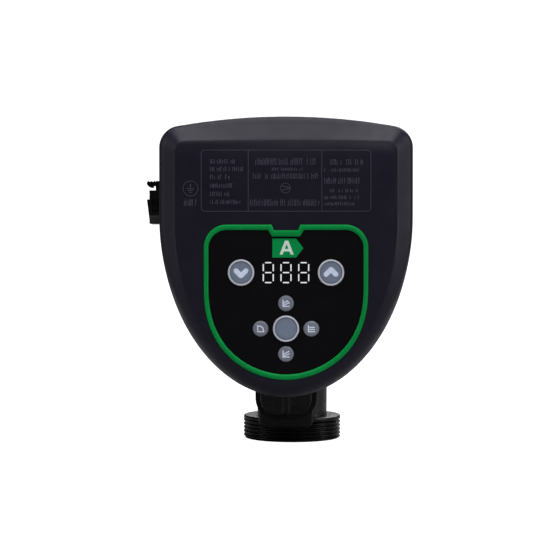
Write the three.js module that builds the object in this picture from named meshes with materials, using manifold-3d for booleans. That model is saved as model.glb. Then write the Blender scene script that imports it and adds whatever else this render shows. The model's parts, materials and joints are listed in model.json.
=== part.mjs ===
// Wet-rotor circulator pump for a heating circuit, with an electronic control head.
//
// The pump is modelled as it comes apart on a bench: a cast housing with two threaded ports, the wet rotor in
// its can, the stator in its pot, and the control head with its board, display, keys and mains inlet.
//
// Frame: millimetres, +Z up along the pipe, -Y towards the person who reads the display. The pieces are drawn
// about the middle of the pipe, halfway between the two port faces. The finished pump is then set down on its
// origin, which lies in the plane of the lower port's face, under the middle of the pump's box. The motor's
// axis is parallel to Y and lies MOTOR_X beside the pipe, as a volute is not symmetrical about its outlet.

import * as THREE from "three";
import { mergeVertices } from "three/addons/utils/BufferGeometryUtils.js";
import Module from "manifold-3d";

const wasm = await Module();
wasm.setup();

// ---------------------------------------------------------------- driving dimensions

const MOTOR_X = -3.75;

// Ports: G 2 pipe thread, 59.6 mm over the crests, 11 turns to the inch, on a collar with a flat shoulder.
const PORT = {
  face: 90, bore: 16, faceRadius: 28.8, shoulder: 75.9, threadTop: 89.6,
  crest: 29.8, root: 28.4, pitch: 2.309, turns: 5, edge: 0.8,
};
const NECK = { radius: 21.4, flare: 22, flareZ: 47.5 };

// Places along the motor's axis, from the casting's back to the head's front.
const Y = {
  domeBack: 32.5,
  chamberBack: 27.5,
  voluteBack: -3.75,
  chamberRear: -8.75,
  chamberFront: -25,
  seat: -26.25,
  flange: -31.25,
  gasket: -33.75,
  motorFlange: -41.25,
  motorStep: -75,
  motorFront: -83.125,
  caseBack: -77.5,
  parting: -107.5,
  bevel: -118.75,
  front: -130,
};

const VOLUTE = { tongueDeg: 50, sweepDeg: 310, start: 32.5, end: 39.375, wall: 5, steps: 24 };
const SEAT = { radius: 35.625, opening: 30.75 };
const EYE = { hole: 15.5, neckOuter: 13.375, neckInner: 11.75 };
const SUCTION = { tube: 13.125, chamber: 16.875, wall: 5 };

// Motor screws: M6 on a 95 mm circle at 45 degrees, through lugs just wide enough for the screw heads.
const SCREW = {
  circle: 47.5, lug: 6.25, shank: 3, hole: 3.4, tapped: 3.25,
  head: 5.3, headHeight: 6, length: 20,
};
const SCREW_ANGLES = [45, 135, 225, 315];

// The flange tab under the head: the motor's lug, the gasket's margin round it, and the casting's boss.
const TAB = {
  motor: { halfWidth: 15, bottom: -72.75, corner: 10.5 },
  gasket: { halfWidth: 18.25, bottom: -76, corner: 13 },
  casting: { halfWidth: 16.4, bottom: -81.5, corner: 5 },
};
const TAB_FRONT = -46.25;

const POT = { inner: 38.5, radius: 41.625, nose: 39.375, ribs: 18, ribHeight: 1.625, ribHalfDeg: 2.2 };
const CAN = { inner: 19.25, outer: 20.25, flange: 35, end: -77.75 };
const SHAFT = { radius: 5, rear: -9.5, front: -75.75 };
const BEARING_RADIUS = 8.8125;
const RUNNING_GAP = 0.075;
const PRESS_GAP = 0.125;

// Control head: a shield shape with an arched top, straight upper sides and a rounded lower half.
const HEAD = {
  halfWidth: 68.5, top: 97.2, topRadius: 330, corner: 12,
  springZ: 40.4, bottom: -55.1, power: 1.965,
};
const PLATEAU = {
  halfWidth: 59.25, top: 83.25, topRadius: 5000, corner: 3.75,
  springZ: 40.4, bottom: -46.9, power: 1.97,
};
const HEAD_WALL = 3.25;
const FRONT_WALL = 4;
const CASE_INSET = 1.5;

// Key panel: a plate in a pocket of the cover, with a green trim ring round it. Drawn in by an inset, the top
// and bottom move by tall times as much as the sides, and the notch's corners by the shares given here.
const PANEL = {
  halfWidth: 44, top: 38.75, corner: 12.4, springZ: 5.5, bottom: -44.6, power: 1.92, fall: 2.4, tall: 1.18,
  notchTop: 7.4, notchBottom: 6.4, notchDepth: 2.95,
  notchTopShare: 0.85, notchBottomShare: 0.4, notchTall: 1.38,
};
const POCKET_FLOOR = -127.625;
const PANEL_FRONT = -129.375;
const RING_FRONT = -130.375;
const RING_WIDTH = 2.7;
const FIT_GAP = 0.1875;
const LEDGE = 5.75;

const KEY = {
  radius: 7, flange: 7.9, front: -130.25, travel: 0.75,
  spread: 23.95, rowZ: 12.9, modeZ: -17,
};
const KEYS = {
  down_button: [-KEY.spread, KEY.rowZ],
  up_button: [KEY.spread, KEY.rowZ],
  mode_button: [0, KEY.modeZ],
};
const LAMP = { radius: 4.15, flange: 4.8, front: -129.7, foot: -121.75, pitch: 13.5 };

// The collar that keeps a key or a lens behind the panel.
const FLANGE = { front: -127.375, back: -126.375 };
const LAMPS = {
  indicator_top: [0, KEY.modeZ + LAMP.pitch],
  indicator_right: [LAMP.pitch, KEY.modeZ],
  indicator_bottom: [0, KEY.modeZ - LAMP.pitch],
  indicator_left: [-LAMP.pitch, KEY.modeZ],
};
const DISPLAY = { width: 28.25, height: 17.5, windowWidth: 28.5, windowHeight: 13, centreZ: KEY.rowZ };
const KEY_BOARD = { front: -119.5, back: -117.5, halfWidth: 43.75, top: 33.75, bottom: -35, shoulder: -6.25 };
const KEY_BOARD_POSTS = [[-40.75, 27.5], [40.75, 27.5], [-28.75, -28.75], [28.75, -28.75]];
const POWER_BOARD = { front: -92, back: -90, halfWidth: 47.5, top: 86.25, bottom: -13.75 };

// Screws that hold the case to the cover, as [x, z] from the motor's axis.
const CASE_SCREWS = [[-56.25, 80], [56.25, 80], [-53.75, 6.25], [53.75, 6.25]];
const CASE_SCREW = { head: 3.75, shank: 1.875, boss: 5, bossHole: 2.1875, tip: -116.25 };

// Mains inlet on the head's left side.
const INLET = {
  top: 57.5, bottom: 39.5, front: -103.75, back: -81.25,
  mouth: -75, inside: -55, wall: 2.25, depth: 15,
  stepTip: -76.5, stepTop: 52.85,
};
const LATCH = {
  pinX: -70.5, pinZ: 61.75, pinRadius: 0.75,
  thickness: 1.9, halfLength: 7.5, hook: 0.95, centreY: -92.5, tip: -76.75,
};

// Facets round a circle: on middling pieces, the largest, the small ones, and all that the shaft carries.
const ROUND = 20;
const FINE = 28;
const SMALL = 12;
const ON_SHAFT = 20;

// ---------------------------------------------------------------- materials

const paint = (color, roughness, metalness) =>
  new THREE.MeshStandardMaterial({ color, roughness, metalness });
const MATERIAL = {
  castIron: paint(0x141414, 0.45, 0.2),
  motorPaint: paint(0x17171a, 0.5, 0.2),
  headPlastic: paint(0x22212b, 0.5, 0),
  panel: paint(0x0e0e10, 0.45, 0),
  green: paint(0x0a9444, 0.4, 0),
  key: paint(0x6a7488, 0.35, 0),
  rubber: paint(0x060606, 0.8, 0),
  blackPlastic: paint(0x070707, 0.4, 0),
  stainless: paint(0xb9bcc0, 0.3, 1),
  steel: paint(0x8c9096, 0.35, 1),
  magnet: paint(0x3a3b3f, 0.5, 0.6),
  ceramic: paint(0xe8e4da, 0.3, 0),
  graphite: paint(0x2b2c2e, 0.6, 0),
  impeller: paint(0xcfc9b8, 0.5, 0),
  copper: paint(0xa8592c, 0.35, 1),
  board: paint(0x0d5a35, 0.5, 0),
  aluminium: paint(0xa9adb2, 0.4, 1),
  brass: paint(0xb8913f, 0.3, 1),
};

// ---------------------------------------------------------------- solids

const MERGE_TOLERANCE = 1e-4;

// A closed three.js geometry as a manifold solid with its faces pointing out.
function solidOf(geometry) {
  const loose = geometry.index ? geometry.toNonIndexed() : geometry.clone();
  loose.deleteAttribute("normal");
  loose.deleteAttribute("uv");
  const merged = mergeVertices(loose, MERGE_TOLERANCE);
  const triVerts = new Uint32Array(merged.index.array);
  const vertProperties = merged.attributes.position.array;
  const make = () => new wasm.Manifold(new wasm.Mesh({ numProp: 3, vertProperties, triVerts }));
  const made = make();
  if (made.volume() > 0) return made;
  for (let i = 0; i < triVerts.length; i += 3) {
    [triVerts[i + 1], triVerts[i + 2]] = [triVerts[i + 2], triVerts[i + 1]];
  }
  return make();
}

function geometryOf(solid) {
  const { numProp, numVert, vertProperties, triVerts } = solid.getMesh();
  const positions = new Float32Array(numVert * 3);
  for (let i = 0; i < numVert; i++) {
    positions.set(vertProperties.subarray(i * numProp, i * numProp + 3), i * 3);
  }
  const geometry = new THREE.BufferGeometry()
    .setAttribute("position", new THREE.BufferAttribute(positions, 3))
    .setIndex(new THREE.BufferAttribute(triVerts, 1))
    .toNonIndexed();
  geometry.computeVertexNormals();
  return geometry;
}

const union = (solids) => solids.reduce((all, next) => all.add(next));
const cut = (solid, tools) => tools.reduce((left, tool) => left.subtract(tool), solid);
const at = (solid, x, z) => solid.translate([x, 0, z]);

// A profile of [radius, y] turned about the Y axis. It starts and ends on the axis, or closes on itself.
function turnedY(profile, segments = ROUND) {
  return solidOf(new THREE.LatheGeometry(profile.map(([r, y]) => new THREE.Vector2(r, y)), segments));
}

// The same about the Z axis, from a profile of [radius, z].
function turnedZ(profile, segments = FINE) {
  const geometry = new THREE.LatheGeometry(profile.map(([r, z]) => new THREE.Vector2(r, z)), segments);
  return solidOf(geometry.rotateX(Math.PI / 2));
}

function discY(radius, y0, y1, segments = ROUND) {
  const geometry = new THREE.CylinderGeometry(radius, radius, y1 - y0, segments);
  return solidOf(geometry.translate(0, (y0 + y1) / 2, 0));
}

function tubeY(inner, outer, y0, y1, segments = ROUND) {
  return turnedY([[inner, y0], [outer, y0], [outer, y1], [inner, y1], [inner, y0]], segments);
}

function box(x0, x1, y0, y1, z0, z1) {
  const geometry = new THREE.BoxGeometry(x1 - x0, y1 - y0, z1 - z0);
  return solidOf(geometry.translate((x0 + x1) / 2, (y0 + y1) / 2, (z0 + z1) / 2));
}

// A straight round bar between two points.
function bar(from, to, radius, segments = 16) {
  const start = new THREE.Vector3(...from);
  const along = new THREE.Vector3(...to).sub(start);
  const geometry = new THREE.CylinderGeometry(radius, radius, along.length(), segments);
  const up = new THREE.Vector3(0, 1, 0);
  geometry.applyQuaternion(new THREE.Quaternion().setFromUnitVectors(up, along.clone().normalize()));
  return solidOf(geometry.translate(...start.addScaledVector(along, 0.5)));
}

function ball(centre, radius) {
  return solidOf(new THREE.SphereGeometry(radius, 14, 8).translate(...centre));
}

// A shape drawn in the X-Z plane, as a slab between two values of Y.
function slabY(shape, y0, y1, curveSegments = 8) {
  const geometry = new THREE.ExtrudeGeometry(shape, { depth: y1 - y0, bevelEnabled: false, curveSegments });
  return solidOf(geometry.rotateX(Math.PI / 2).translate(0, y1, 0));
}

const plateY = (points, y0, y1) => slabY(new THREE.Shape(points), y0, y1);

// A skin through outlines of the same number of points, with flat ends. Each section is { y, points }.
function loft(sections) {
  const count = sections[0].points.length;
  const positions = sections.flatMap(({ y, points }) => points.flatMap((p) => [p.x, y, p.y]));
  const index = [];
  for (let s = 0; s + 1 < sections.length; s++) {
    for (let i = 0; i < count; i++) {
      const a = s * count + i;
      const b = s * count + ((i + 1) % count);
      index.push(a, b, b + count, a, b + count, a + count);
    }
  }
  const last = (sections.length - 1) * count;
  for (const [a, b, c] of THREE.ShapeUtils.triangulateShape(sections[0].points, [])) index.push(a, c, b);
  for (const [a, b, c] of THREE.ShapeUtils.triangulateShape(sections.at(-1).points, [])) {
    index.push(last + a, last + b, last + c);
  }
  const geometry = new THREE.BufferGeometry();
  geometry.setAttribute("position", new THREE.Float32BufferAttribute(positions, 3)).setIndex(index);
  return solidOf(geometry);
}

// ---------------------------------------------------------------- outlines in the X-Z plane

const radians = THREE.MathUtils.degToRad;
const polar = (radius, angle) => new THREE.Vector2(radius * Math.cos(angle), radius * Math.sin(angle));

function arc(centreX, centreZ, radius, from, to, steps) {
  return Array.from({ length: steps + 1 }, (_, i) =>
    polar(radius, from + ((to - from) * i) / steps).add(new THREE.Vector2(centreX, centreZ)));
}

// The lower half of a superellipse, from its left end round the bottom to its right end. It has one power
// across and one, fall, downwards.
function lowerCurve(halfWidth, springZ, bottom, power, fall, steps) {
  return Array.from({ length: steps + 1 }, (_, i) => {
    const angle = Math.PI * (1 - i / steps);
    const x = Math.sign(Math.cos(angle)) * Math.abs(Math.cos(angle)) ** (2 / power);
    return new THREE.Vector2(halfWidth * x, springZ - (springZ - bottom) * Math.sin(angle) ** (2 / fall));
  });
}

// The head's outline, drawn in by inset on every side.
function shield({ halfWidth, top, topRadius, corner, springZ, bottom, power }, inset = 0) {
  const half = halfWidth - inset;
  const round = Math.max(corner - inset, 1.25);
  const radius = topRadius - inset;
  const centreZ = top - topRadius;
  const cornerX = half - round;
  const cornerZ = centreZ + Math.sqrt((radius - round) ** 2 - cornerX ** 2);
  const lean = Math.atan2(cornerZ - centreZ, cornerX);
  return [
    ...lowerCurve(half, springZ, bottom + inset, power, power, 22),
    ...arc(cornerX, cornerZ, round, 0, lean, 4),
    ...arc(0, centreZ, radius, lean, Math.PI - lean, 8).slice(1, -1),
    ...arc(-cornerX, cornerZ, round, Math.PI - lean, Math.PI, 4),
  ];
}

// The key panel's outline with the notch in its top edge, drawn in by inset.
function panelOutline(inset) {
  const half = PANEL.halfWidth - inset;
  const top = PANEL.top - inset * PANEL.tall;
  const round = PANEL.corner - inset;
  const notchZ = PANEL.top - PANEL.notchDepth - inset * PANEL.notchTall;
  const shoulderX = PANEL.notchTop + inset * PANEL.notchTopShare;
  const notchX = PANEL.notchBottom + inset * PANEL.notchBottomShare;
  return [
    ...lowerCurve(half, PANEL.springZ, PANEL.bottom + inset * PANEL.tall, PANEL.power, PANEL.fall, 20),
    ...arc(half - round, top - round, round, 0, Math.PI / 2, 4),
    new THREE.Vector2(shoulderX, top),
    new THREE.Vector2(notchX, notchZ),
    new THREE.Vector2(-notchX, notchZ),
    new THREE.Vector2(-shoulderX, top),
    ...arc(-half + round, top - round, round, Math.PI / 2, Math.PI, 4),
  ];
}

// A tab that hangs from the motor's axis: straight sides and round lower corners.
function tabOutline({ halfWidth, bottom, corner }) {
  return [
    new THREE.Vector2(-halfWidth, 0),
    ...arc(-halfWidth + corner, bottom + corner, corner, Math.PI, 1.5 * Math.PI, 4),
    ...arc(halfWidth - corner, bottom + corner, corner, 1.5 * Math.PI, 2 * Math.PI, 4),
    new THREE.Vector2(halfWidth, 0),
  ];
}

// The scroll of the volute: its radius grows anticlockwise from the tongue, seen from the front.
function scroll(extra) {
  return Array.from({ length: VOLUTE.steps + 1 }, (_, i) => {
    const turn = i / VOLUTE.steps;
    const radius = VOLUTE.start + (VOLUTE.end - VOLUTE.start) * turn + extra;
    return polar(radius, radians(VOLUTE.tongueDeg + VOLUTE.sweepDeg * turn));
  });
}

const screwPlaces = SCREW_ANGLES.map((deg) => polar(SCREW.circle, radians(deg)));

// A round flange with four screw lugs and the tab below, between two values of Y.
function flange(radius, lug, tab, y0, y1) {
  return union([
    discY(radius, y0, y1, FINE),
    plateY(tabOutline(tab), y0, y1),
    ...screwPlaces.map(({ x, y: z }) => at(discY(lug, y0, y1, SMALL), x, z)),
  ]);
}

const screwHoles = (radius, y0, y1) =>
  screwPlaces.map(({ x, y: z }) => at(discY(radius, y0, y1, SMALL), x, z));

// ---------------------------------------------------------------- pump housing

// One port up the Z axis from its flare: neck, shoulder, plain band, thread and chamfered face.
function portProfile() {
  const { face, faceRadius, shoulder, threadTop, crest, root, pitch, turns, edge } = PORT;
  const valley = pitch / 2;
  const grooves = Array.from({ length: turns }, (_, i) => threadTop - pitch * (turns - i));
  return [
    [0, 25],
    [NECK.flare, 25],
    [NECK.flare, NECK.flareZ],
    [NECK.radius, NECK.flareZ + 10],
    [NECK.radius, shoulder],
    [crest - edge, shoulder],
    [crest, shoulder + edge],
    [crest, grooves[0] - valley],
    ...grooves.flatMap((z) => [[root, z], [crest, z + valley]]),
    [root + 0.5, threadTop],
    [faceRadius, face],
    [0, face],
  ];
}

function pumpHousing() {
  const port = turnedZ(portProfile());
  const inMotorFrame = (solid) => solid.translate([MOTOR_X, 0, 0]);
  const elbowTop = [MOTOR_X, 14.375, -5];
  const elbowFoot = [0, 3.75, -55];
  const outletFoot = [MOTOR_X + 23.75, -16.25, 5];
  const outletTop = [1.25, -3.75, 55];
  const outside = union([
    port,
    port.mirror([0, 0, 1]),
    inMotorFrame(union([
      plateY(scroll(VOLUTE.wall), Y.flange, Y.voluteBack),
      flange(SEAT.radius + 6.875, SCREW.lug, TAB.casting, Y.flange, Y.flange + 13.75),
      turnedY([
        [0, Y.voluteBack - 7.5], [31.25, Y.voluteBack - 7.5],
        [30, Y.voluteBack + 3.75], [23.125, Y.voluteBack + 10],
        [22.5, Y.domeBack - 6.25], [20.625, Y.domeBack - 1.875], [16.875, Y.domeBack], [0, Y.domeBack],
      ]),
    ])),
    bar(elbowFoot, elbowTop, SUCTION.tube + SUCTION.wall),
    ball(elbowFoot, SUCTION.tube + SUCTION.wall),
    bar(outletFoot, outletTop, 15.625),
    ball(outletFoot, 15.625),
  ]);
  const water = union([
    bar([0, 0, -PORT.face - 1.25], [0, 0, -48.75], PORT.bore),
    ball([0, 0, -48.75], PORT.bore),
    bar([0, 2.5, -52.5], elbowTop, SUCTION.tube),
    inMotorFrame(discY(SUCTION.chamber, 2.5, Y.chamberBack)),
    inMotorFrame(discY(EYE.hole, Y.chamberRear - 1.25, 3.75)),
    inMotorFrame(plateY(scroll(0), Y.chamberFront, Y.chamberRear)),
    inMotorFrame(discY(SEAT.opening, Y.seat - 1.25, Y.chamberFront + 1.25)),
    bar(outletFoot, outletTop, 10),
    ball(outletFoot, 10),
    ball([1.25, -3.75, 55], 11.875),
    bar([0, 0, 52.5], [0, 0, PORT.face + 1.25], PORT.bore),
  ]);
  const seats = union([
    discY(SEAT.radius, Y.flange - 1.25, Y.seat, FINE),
    ...screwHoles(SCREW.tapped, Y.flange - 1.25, Y.flange + 12.5),
  ]);
  return cut(outside, [water, inMotorFrame(seats)]);
}

// ---------------------------------------------------------------- wet end

const wearRing = () => turnedY([
  [EYE.neckOuter + 0.375, -9.75], [17.5, -9.75], [17.5, -8.875], [EYE.hole - PRESS_GAP, -8.875],
  [EYE.hole - PRESS_GAP, -3.75], [EYE.neckOuter + 0.375, -3.75], [EYE.neckOuter + 0.375, -9.75],
]);

const IMPELLER = {
  radius: 29.375, hub: 8.125, back: -23.25,
  vaneFront: -21.75, vaneBack: -12.875, coverFront: -12.75, coverBack: -11.25,
};

// A backward-curved vane: a thin crescent from the eye to the rim.
function vane(angle) {
  const inner = 10;
  const outer = IMPELLER.radius;
  const halfThickness = 1.125;
  const wrap = radians(70);
  const steps = 5;
  const side = (offset) => Array.from({ length: steps + 1 }, (_, i) => {
    const t = i / steps;
    const radius = inner + (outer - inner) * t;
    return polar(radius - 0.25, angle - wrap * t + offset / radius);
  });
  const outline = [...side(-halfThickness), ...side(halfThickness).reverse()];
  return plateY(outline, IMPELLER.vaneFront - 0.625, IMPELLER.vaneBack);
}

const VANES = 6;

function impeller() {
  const wheel = union([
    discY(IMPELLER.radius, IMPELLER.back, IMPELLER.vaneFront),
    discY(IMPELLER.hub, IMPELLER.back, IMPELLER.vaneBack + 1.25, SMALL),
    ...Array.from({ length: VANES }, (_, i) => vane((i * 2 * Math.PI) / VANES)),
  ]);
  return wheel.subtract(discY(SHAFT.radius + PRESS_GAP, IMPELLER.back - 1.25, SHAFT.rear, ON_SHAFT));
}

const impellerCover = () => turnedY([
  [EYE.neckInner, -5], [EYE.neckInner, IMPELLER.coverFront], [IMPELLER.radius, IMPELLER.coverFront],
  [IMPELLER.radius, IMPELLER.coverBack], [EYE.neckOuter + 1.5, IMPELLER.coverBack], [EYE.neckOuter, -10],
  [EYE.neckOuter, -5], [EYE.neckInner, -5],
]);

const bearingPlate = () => turnedY([
  [8.95, -33.75], [10.75, -33.75], [10.75, -29.1], [30.25, -29.1], [30.25, -27.6], [8.95, -27.6],
  [8.95, -33.75],
]);

const rotorCan = () => turnedY([
  [0, CAN.end], [10.25, CAN.end], [10.25, -71.875], [CAN.outer, -71.875], [CAN.outer, -30.75],
  [CAN.flange, -30.75], [CAN.flange, -29.25], [CAN.inner, -29.25], [CAN.inner, -70.875],
  [9, -70.875], [9, CAN.end + 1.25], [0, CAN.end + 1.25],
]);

const SEAL = { radius: 33, y: -27.75, tube: 1.4375, sides: 8 };

// A rubber ring: a small polygon turned about the axis.
function housingSeal() {
  const section = Array.from({ length: SEAL.sides }, (_, i) => {
    const corner = polar(SEAL.tube, (i * 2 * Math.PI) / SEAL.sides);
    return [SEAL.radius + corner.x, SEAL.y + corner.y];
  });
  return turnedY([...section, section[0]]);
}

const ROTOR = { radius: 17, y0: -68.75, y1: -38.75, sleeve: 18, lip: 6.25 };

const rotorSleeve = () => turnedY([
  [ROTOR.radius + FIT_GAP, ROTOR.y0 - PRESS_GAP], [ROTOR.lip, ROTOR.y0 - PRESS_GAP],
  [ROTOR.lip, ROTOR.y0 - 0.75], [ROTOR.sleeve, ROTOR.y0 - 0.75],
  [ROTOR.sleeve, ROTOR.y1 + 0.75], [ROTOR.lip, ROTOR.y1 + 0.75],
  [ROTOR.lip, ROTOR.y1 + PRESS_GAP], [ROTOR.radius + FIT_GAP, ROTOR.y1 + PRESS_GAP],
  [ROTOR.radius + FIT_GAP, ROTOR.y0 - PRESS_GAP],
]);

// ---------------------------------------------------------------- stator and its pot

const STATOR = { y0: -67.5, y1: -42.5, bore: 20.75, shoe: 23.5, yoke: 33, radius: 38, tooth: 4.5, slots: 6 };
const COIL = { inner: 24.5, outer: 31.125, halfWidth: 8.875, overhang: 5, gap: 0.375 };

function statorCore() {
  const tooth = (i) => {
    const angle = (i * 2 * Math.PI) / STATOR.slots;
    const shoe = radians(25);
    const outline = [
      ...arc(0, 0, STATOR.bore, shoe, -shoe, 4),
      polar(STATOR.shoe, -shoe),
      new THREE.Vector2(STATOR.shoe, -STATOR.tooth),
      new THREE.Vector2(STATOR.yoke + 0.625, -STATOR.tooth),
      new THREE.Vector2(STATOR.yoke + 0.625, STATOR.tooth),
      new THREE.Vector2(STATOR.shoe, STATOR.tooth),
      polar(STATOR.shoe, shoe),
    ];
    const turned = outline.map((p) => p.rotateAround(new THREE.Vector2(), angle));
    return plateY(turned, STATOR.y0, STATOR.y1);
  };
  const teeth = Array.from({ length: STATOR.slots }, (_, i) => tooth(i));
  return union([tubeY(STATOR.yoke, STATOR.radius, STATOR.y0, STATOR.y1), ...teeth]);
}

// A coil round one tooth, modelled on the tooth that points along +X.
function coil() {
  const { inner, outer, halfWidth, overhang, gap } = COIL;
  const half = STATOR.tooth + gap;
  const winding = box(inner, outer, STATOR.y0 - overhang, STATOR.y1 + overhang, -halfWidth, halfWidth);
  return winding.subtract(box(inner - 1.25, outer + 1.25, STATOR.y0 - gap, STATOR.y1 + gap, -half, half));
}

// The pot's outline: a round body with cooling ribs along it, left out where the screw heads need room.
function potOutline() {
  const step = (2 * Math.PI) / POT.ribs;
  const half = radians(POT.ribHalfDeg);
  const nearest = 0.16;
  const isClear = (angle) =>
    SCREW_ANGLES.every((deg) => Math.abs(Math.sin((angle - radians(deg)) / 2)) > nearest);
  return Array.from({ length: POT.ribs }, (_, i) => {
    const angle = i * step;
    const crest = isClear(angle) ? POT.radius + POT.ribHeight : POT.radius;
    return [
      polar(POT.radius, angle - half * 2),
      polar(crest, angle - half),
      polar(crest, angle + half),
      polar(POT.radius, angle + half * 2),
    ];
  }).flat();
}

function motorHousing() {
  const nib = 1.375;
  const body = union([
    flange(SEAT.radius + 6.875, SCREW.lug, TAB.motor, Y.motorFlange, Y.gasket),
    plateY(tabOutline(TAB.motor), TAB_FRONT, Y.gasket),
    box(-nib, nib, TAB_FRONT - nib, TAB_FRONT + 1.25, TAB.motor.bottom + 1.875, -POT.radius),
    discY(CAN.flange, Y.gasket, -31),
    plateY(potOutline(), Y.motorStep, Y.motorFlange),
    discY(POT.nose, Y.motorFront, Y.motorStep),
  ]);
  return cut(body, [
    discY(POT.inner, Y.motorFront + 3.125, Y.gasket - 2.125),
    discY(CAN.outer + 1.25, Y.gasket - 3.75, -30),
    ...screwHoles(SCREW.hole, Y.motorFlange - 1.25, Y.gasket + 1.25),
    ...screwHoles(SCREW.head + 0.375, -62.5, Y.motorFlange),
    at(discY(3.75, Y.motorFront - 1.25, Y.motorFront + 5, SMALL), 25, 20),
  ]);
}

function flangeGasket() {
  const plate = flange(SEAT.radius + 7.75, SCREW.lug + 0.75, TAB.gasket, Y.gasket, Y.flange);
  return cut(plate, [
    discY(CAN.flange + 0.375, Y.gasket - 1.25, Y.flange + 1.25),
    ...screwHoles(SCREW.hole, Y.gasket - 1.25, Y.flange + 1.25),
  ]);
}

// A socket head cap screw whose head sits on y = 0, its shank running towards +Y.
function capScrew() {
  const head = discY(SCREW.head, -SCREW.headHeight, 0, SMALL);
  const socket = discY(2.875, -SCREW.headHeight - 1.25, -2.9, 6);
  return union([head, discY(SCREW.shank, -1.25, SCREW.length, SMALL)]).subtract(socket);
}

// ---------------------------------------------------------------- control head

function caseBosses(y0, y1) {
  return CASE_SCREWS.map(([x, z]) => at(discY(CASE_SCREW.boss, y0, y1, SMALL), x, z));
}

// Front half of the head: bevelled shell, panel pocket, screw bosses and posts that carry the key board.
function frontCover() {
  const shell = loft([
    { y: Y.parting, points: shield(HEAD) },
    { y: Y.bevel, points: shield(HEAD, 0.625) },
    { y: Y.bevel - 4, points: shield(HEAD, 3) },
    { y: Y.front + 0.625, points: shield(PLATEAU, -0.625) },
    { y: Y.front, points: shield(PLATEAU) },
  ]);
  const cavity = loft([
    { y: Y.parting + 1.25, points: shield(HEAD, HEAD_WALL) },
    { y: Y.bevel, points: shield(HEAD, HEAD_WALL + 0.625) },
    { y: Y.front + FRONT_WALL, points: shield(PLATEAU, 1.25) },
  ]);
  const posts = KEY_BOARD_POSTS.map(([x, z]) =>
    at(discY(2.5, Y.front + FRONT_WALL - 0.625, KEY_BOARD.front, SMALL), x, z));
  const holes = CASE_SCREWS.map(([x, z]) =>
    at(discY(CASE_SCREW.shank + FIT_GAP, CASE_SCREW.tip - 1.25, Y.parting + 1.25, SMALL), x, z));
  const inner = union([...caseBosses(Y.front + FRONT_WALL - 0.625, Y.parting), ...posts]).intersect(shell);
  return cut(union([shell.subtract(cavity), inner]), [
    ...holes,
    plateY(panelOutline(0), Y.front - 1.25, POCKET_FLOOR),
    plateY(panelOutline(LEDGE), POCKET_FLOOR - 1.25, Y.front + FRONT_WALL + 1.25),
  ]);
}

// Back half of the head: a shallow tray with a hole for the motor's nose and a port for the mains inlet.
function rearCase() {
  const shell = loft([
    { y: Y.caseBack, points: shield(HEAD, 3.75) },
    { y: Y.caseBack - 3.75, points: shield(HEAD, CASE_INSET) },
    { y: Y.parting + 1, points: shield(HEAD, CASE_INSET) },
  ]);
  const cavity = loft([
    { y: Y.caseBack - HEAD_WALL, points: shield(HEAD, CASE_INSET + HEAD_WALL) },
    { y: Y.parting - 1.25, points: shield(HEAD, CASE_INSET + HEAD_WALL) },
  ]);
  const posts = [[-42.5, 68.75], [42.5, 68.75], [-42.5, 16.25], [42.5, 16.25]].map(([x, z]) =>
    at(discY(3.125, POWER_BOARD.back, Y.caseBack - 1.25, SMALL), x, z));
  const clearance = 0.375;
  const inletPort = box(
    -HEAD.halfWidth - 2.5, -HEAD.halfWidth + 7.5, INLET.front - clearance, INLET.back + clearance,
    INLET.bottom - clearance, INLET.top + clearance);
  const solid = union([shell.subtract(cavity), ...caseBosses(Y.parting + 1, Y.caseBack - 1.25), ...posts]);
  const boreFor = (radius, y0) =>
    CASE_SCREWS.map(([x, z]) => at(discY(radius, y0, Y.caseBack + 1.25, SMALL), x, z));
  return cut(solid, [
    discY(POT.nose + 0.5, Y.caseBack - 5, Y.caseBack + 1.25),
    ...boreFor(CASE_SCREW.bossHole, Y.parting - 1.25),
    ...boreFor(CASE_SCREW.head + clearance, Y.caseBack - 3.75),
    inletPort,
  ]);
}

const caseSeal = () => cut(plateY(shield(HEAD, CASE_INSET + 0.25), Y.parting, Y.parting + 0.875), [
  plateY(shield(HEAD, CASE_INSET + HEAD_WALL), Y.parting - 1.25, Y.parting + 2.5),
]);

function caseScrew() {
  const seatY = Y.caseBack - 3.75;
  return cut(union([
    discY(CASE_SCREW.head, seatY, seatY + 3, SMALL),
    discY(CASE_SCREW.shank, CASE_SCREW.tip, seatY + 0.625, SMALL),
  ]), [
    box(-2.5, 2.5, seatY + 1.5, seatY + 3.75, -0.5, 0.5),
    box(-0.5, 0.5, seatY + 1.5, seatY + 3.75, -2.5, 2.5),
  ]);
}

const trimRing = () => cut(plateY(panelOutline(FIT_GAP), RING_FRONT, POCKET_FLOOR), [
  plateY(panelOutline(RING_WIDTH), RING_FRONT - 1.25, POCKET_FLOOR + 1.25),
]);

function keyPanel() {
  const plate = plateY(panelOutline(RING_WIDTH + FIT_GAP), PANEL_FRONT, POCKET_FLOOR);
  const hole = (radius, segments) =>
    discY(radius + FIT_GAP, PANEL_FRONT - 1.25, POCKET_FLOOR + 1.25, segments);
  return cut(plate, [
    ...Object.values(KEYS).map(([x, z]) => at(hole(KEY.radius, ROUND), x, z)),
    ...Object.values(LAMPS).map(([x, z]) => at(hole(LAMP.radius, SMALL), x, z)),
    box(
      -DISPLAY.windowWidth / 2, DISPLAY.windowWidth / 2, PANEL_FRONT - 1.25, POCKET_FLOOR + 1.25,
      DISPLAY.centreZ - DISPLAY.windowHeight / 2, DISPLAY.centreZ + DISPLAY.windowHeight / 2),
  ]);
}

const SWITCH = {
  half: 3.75, top: -123.9, plunger: 2.1, bore: 2.4,
  plungerTop: -125.4, plungerFoot: -122.75,
};

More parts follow.
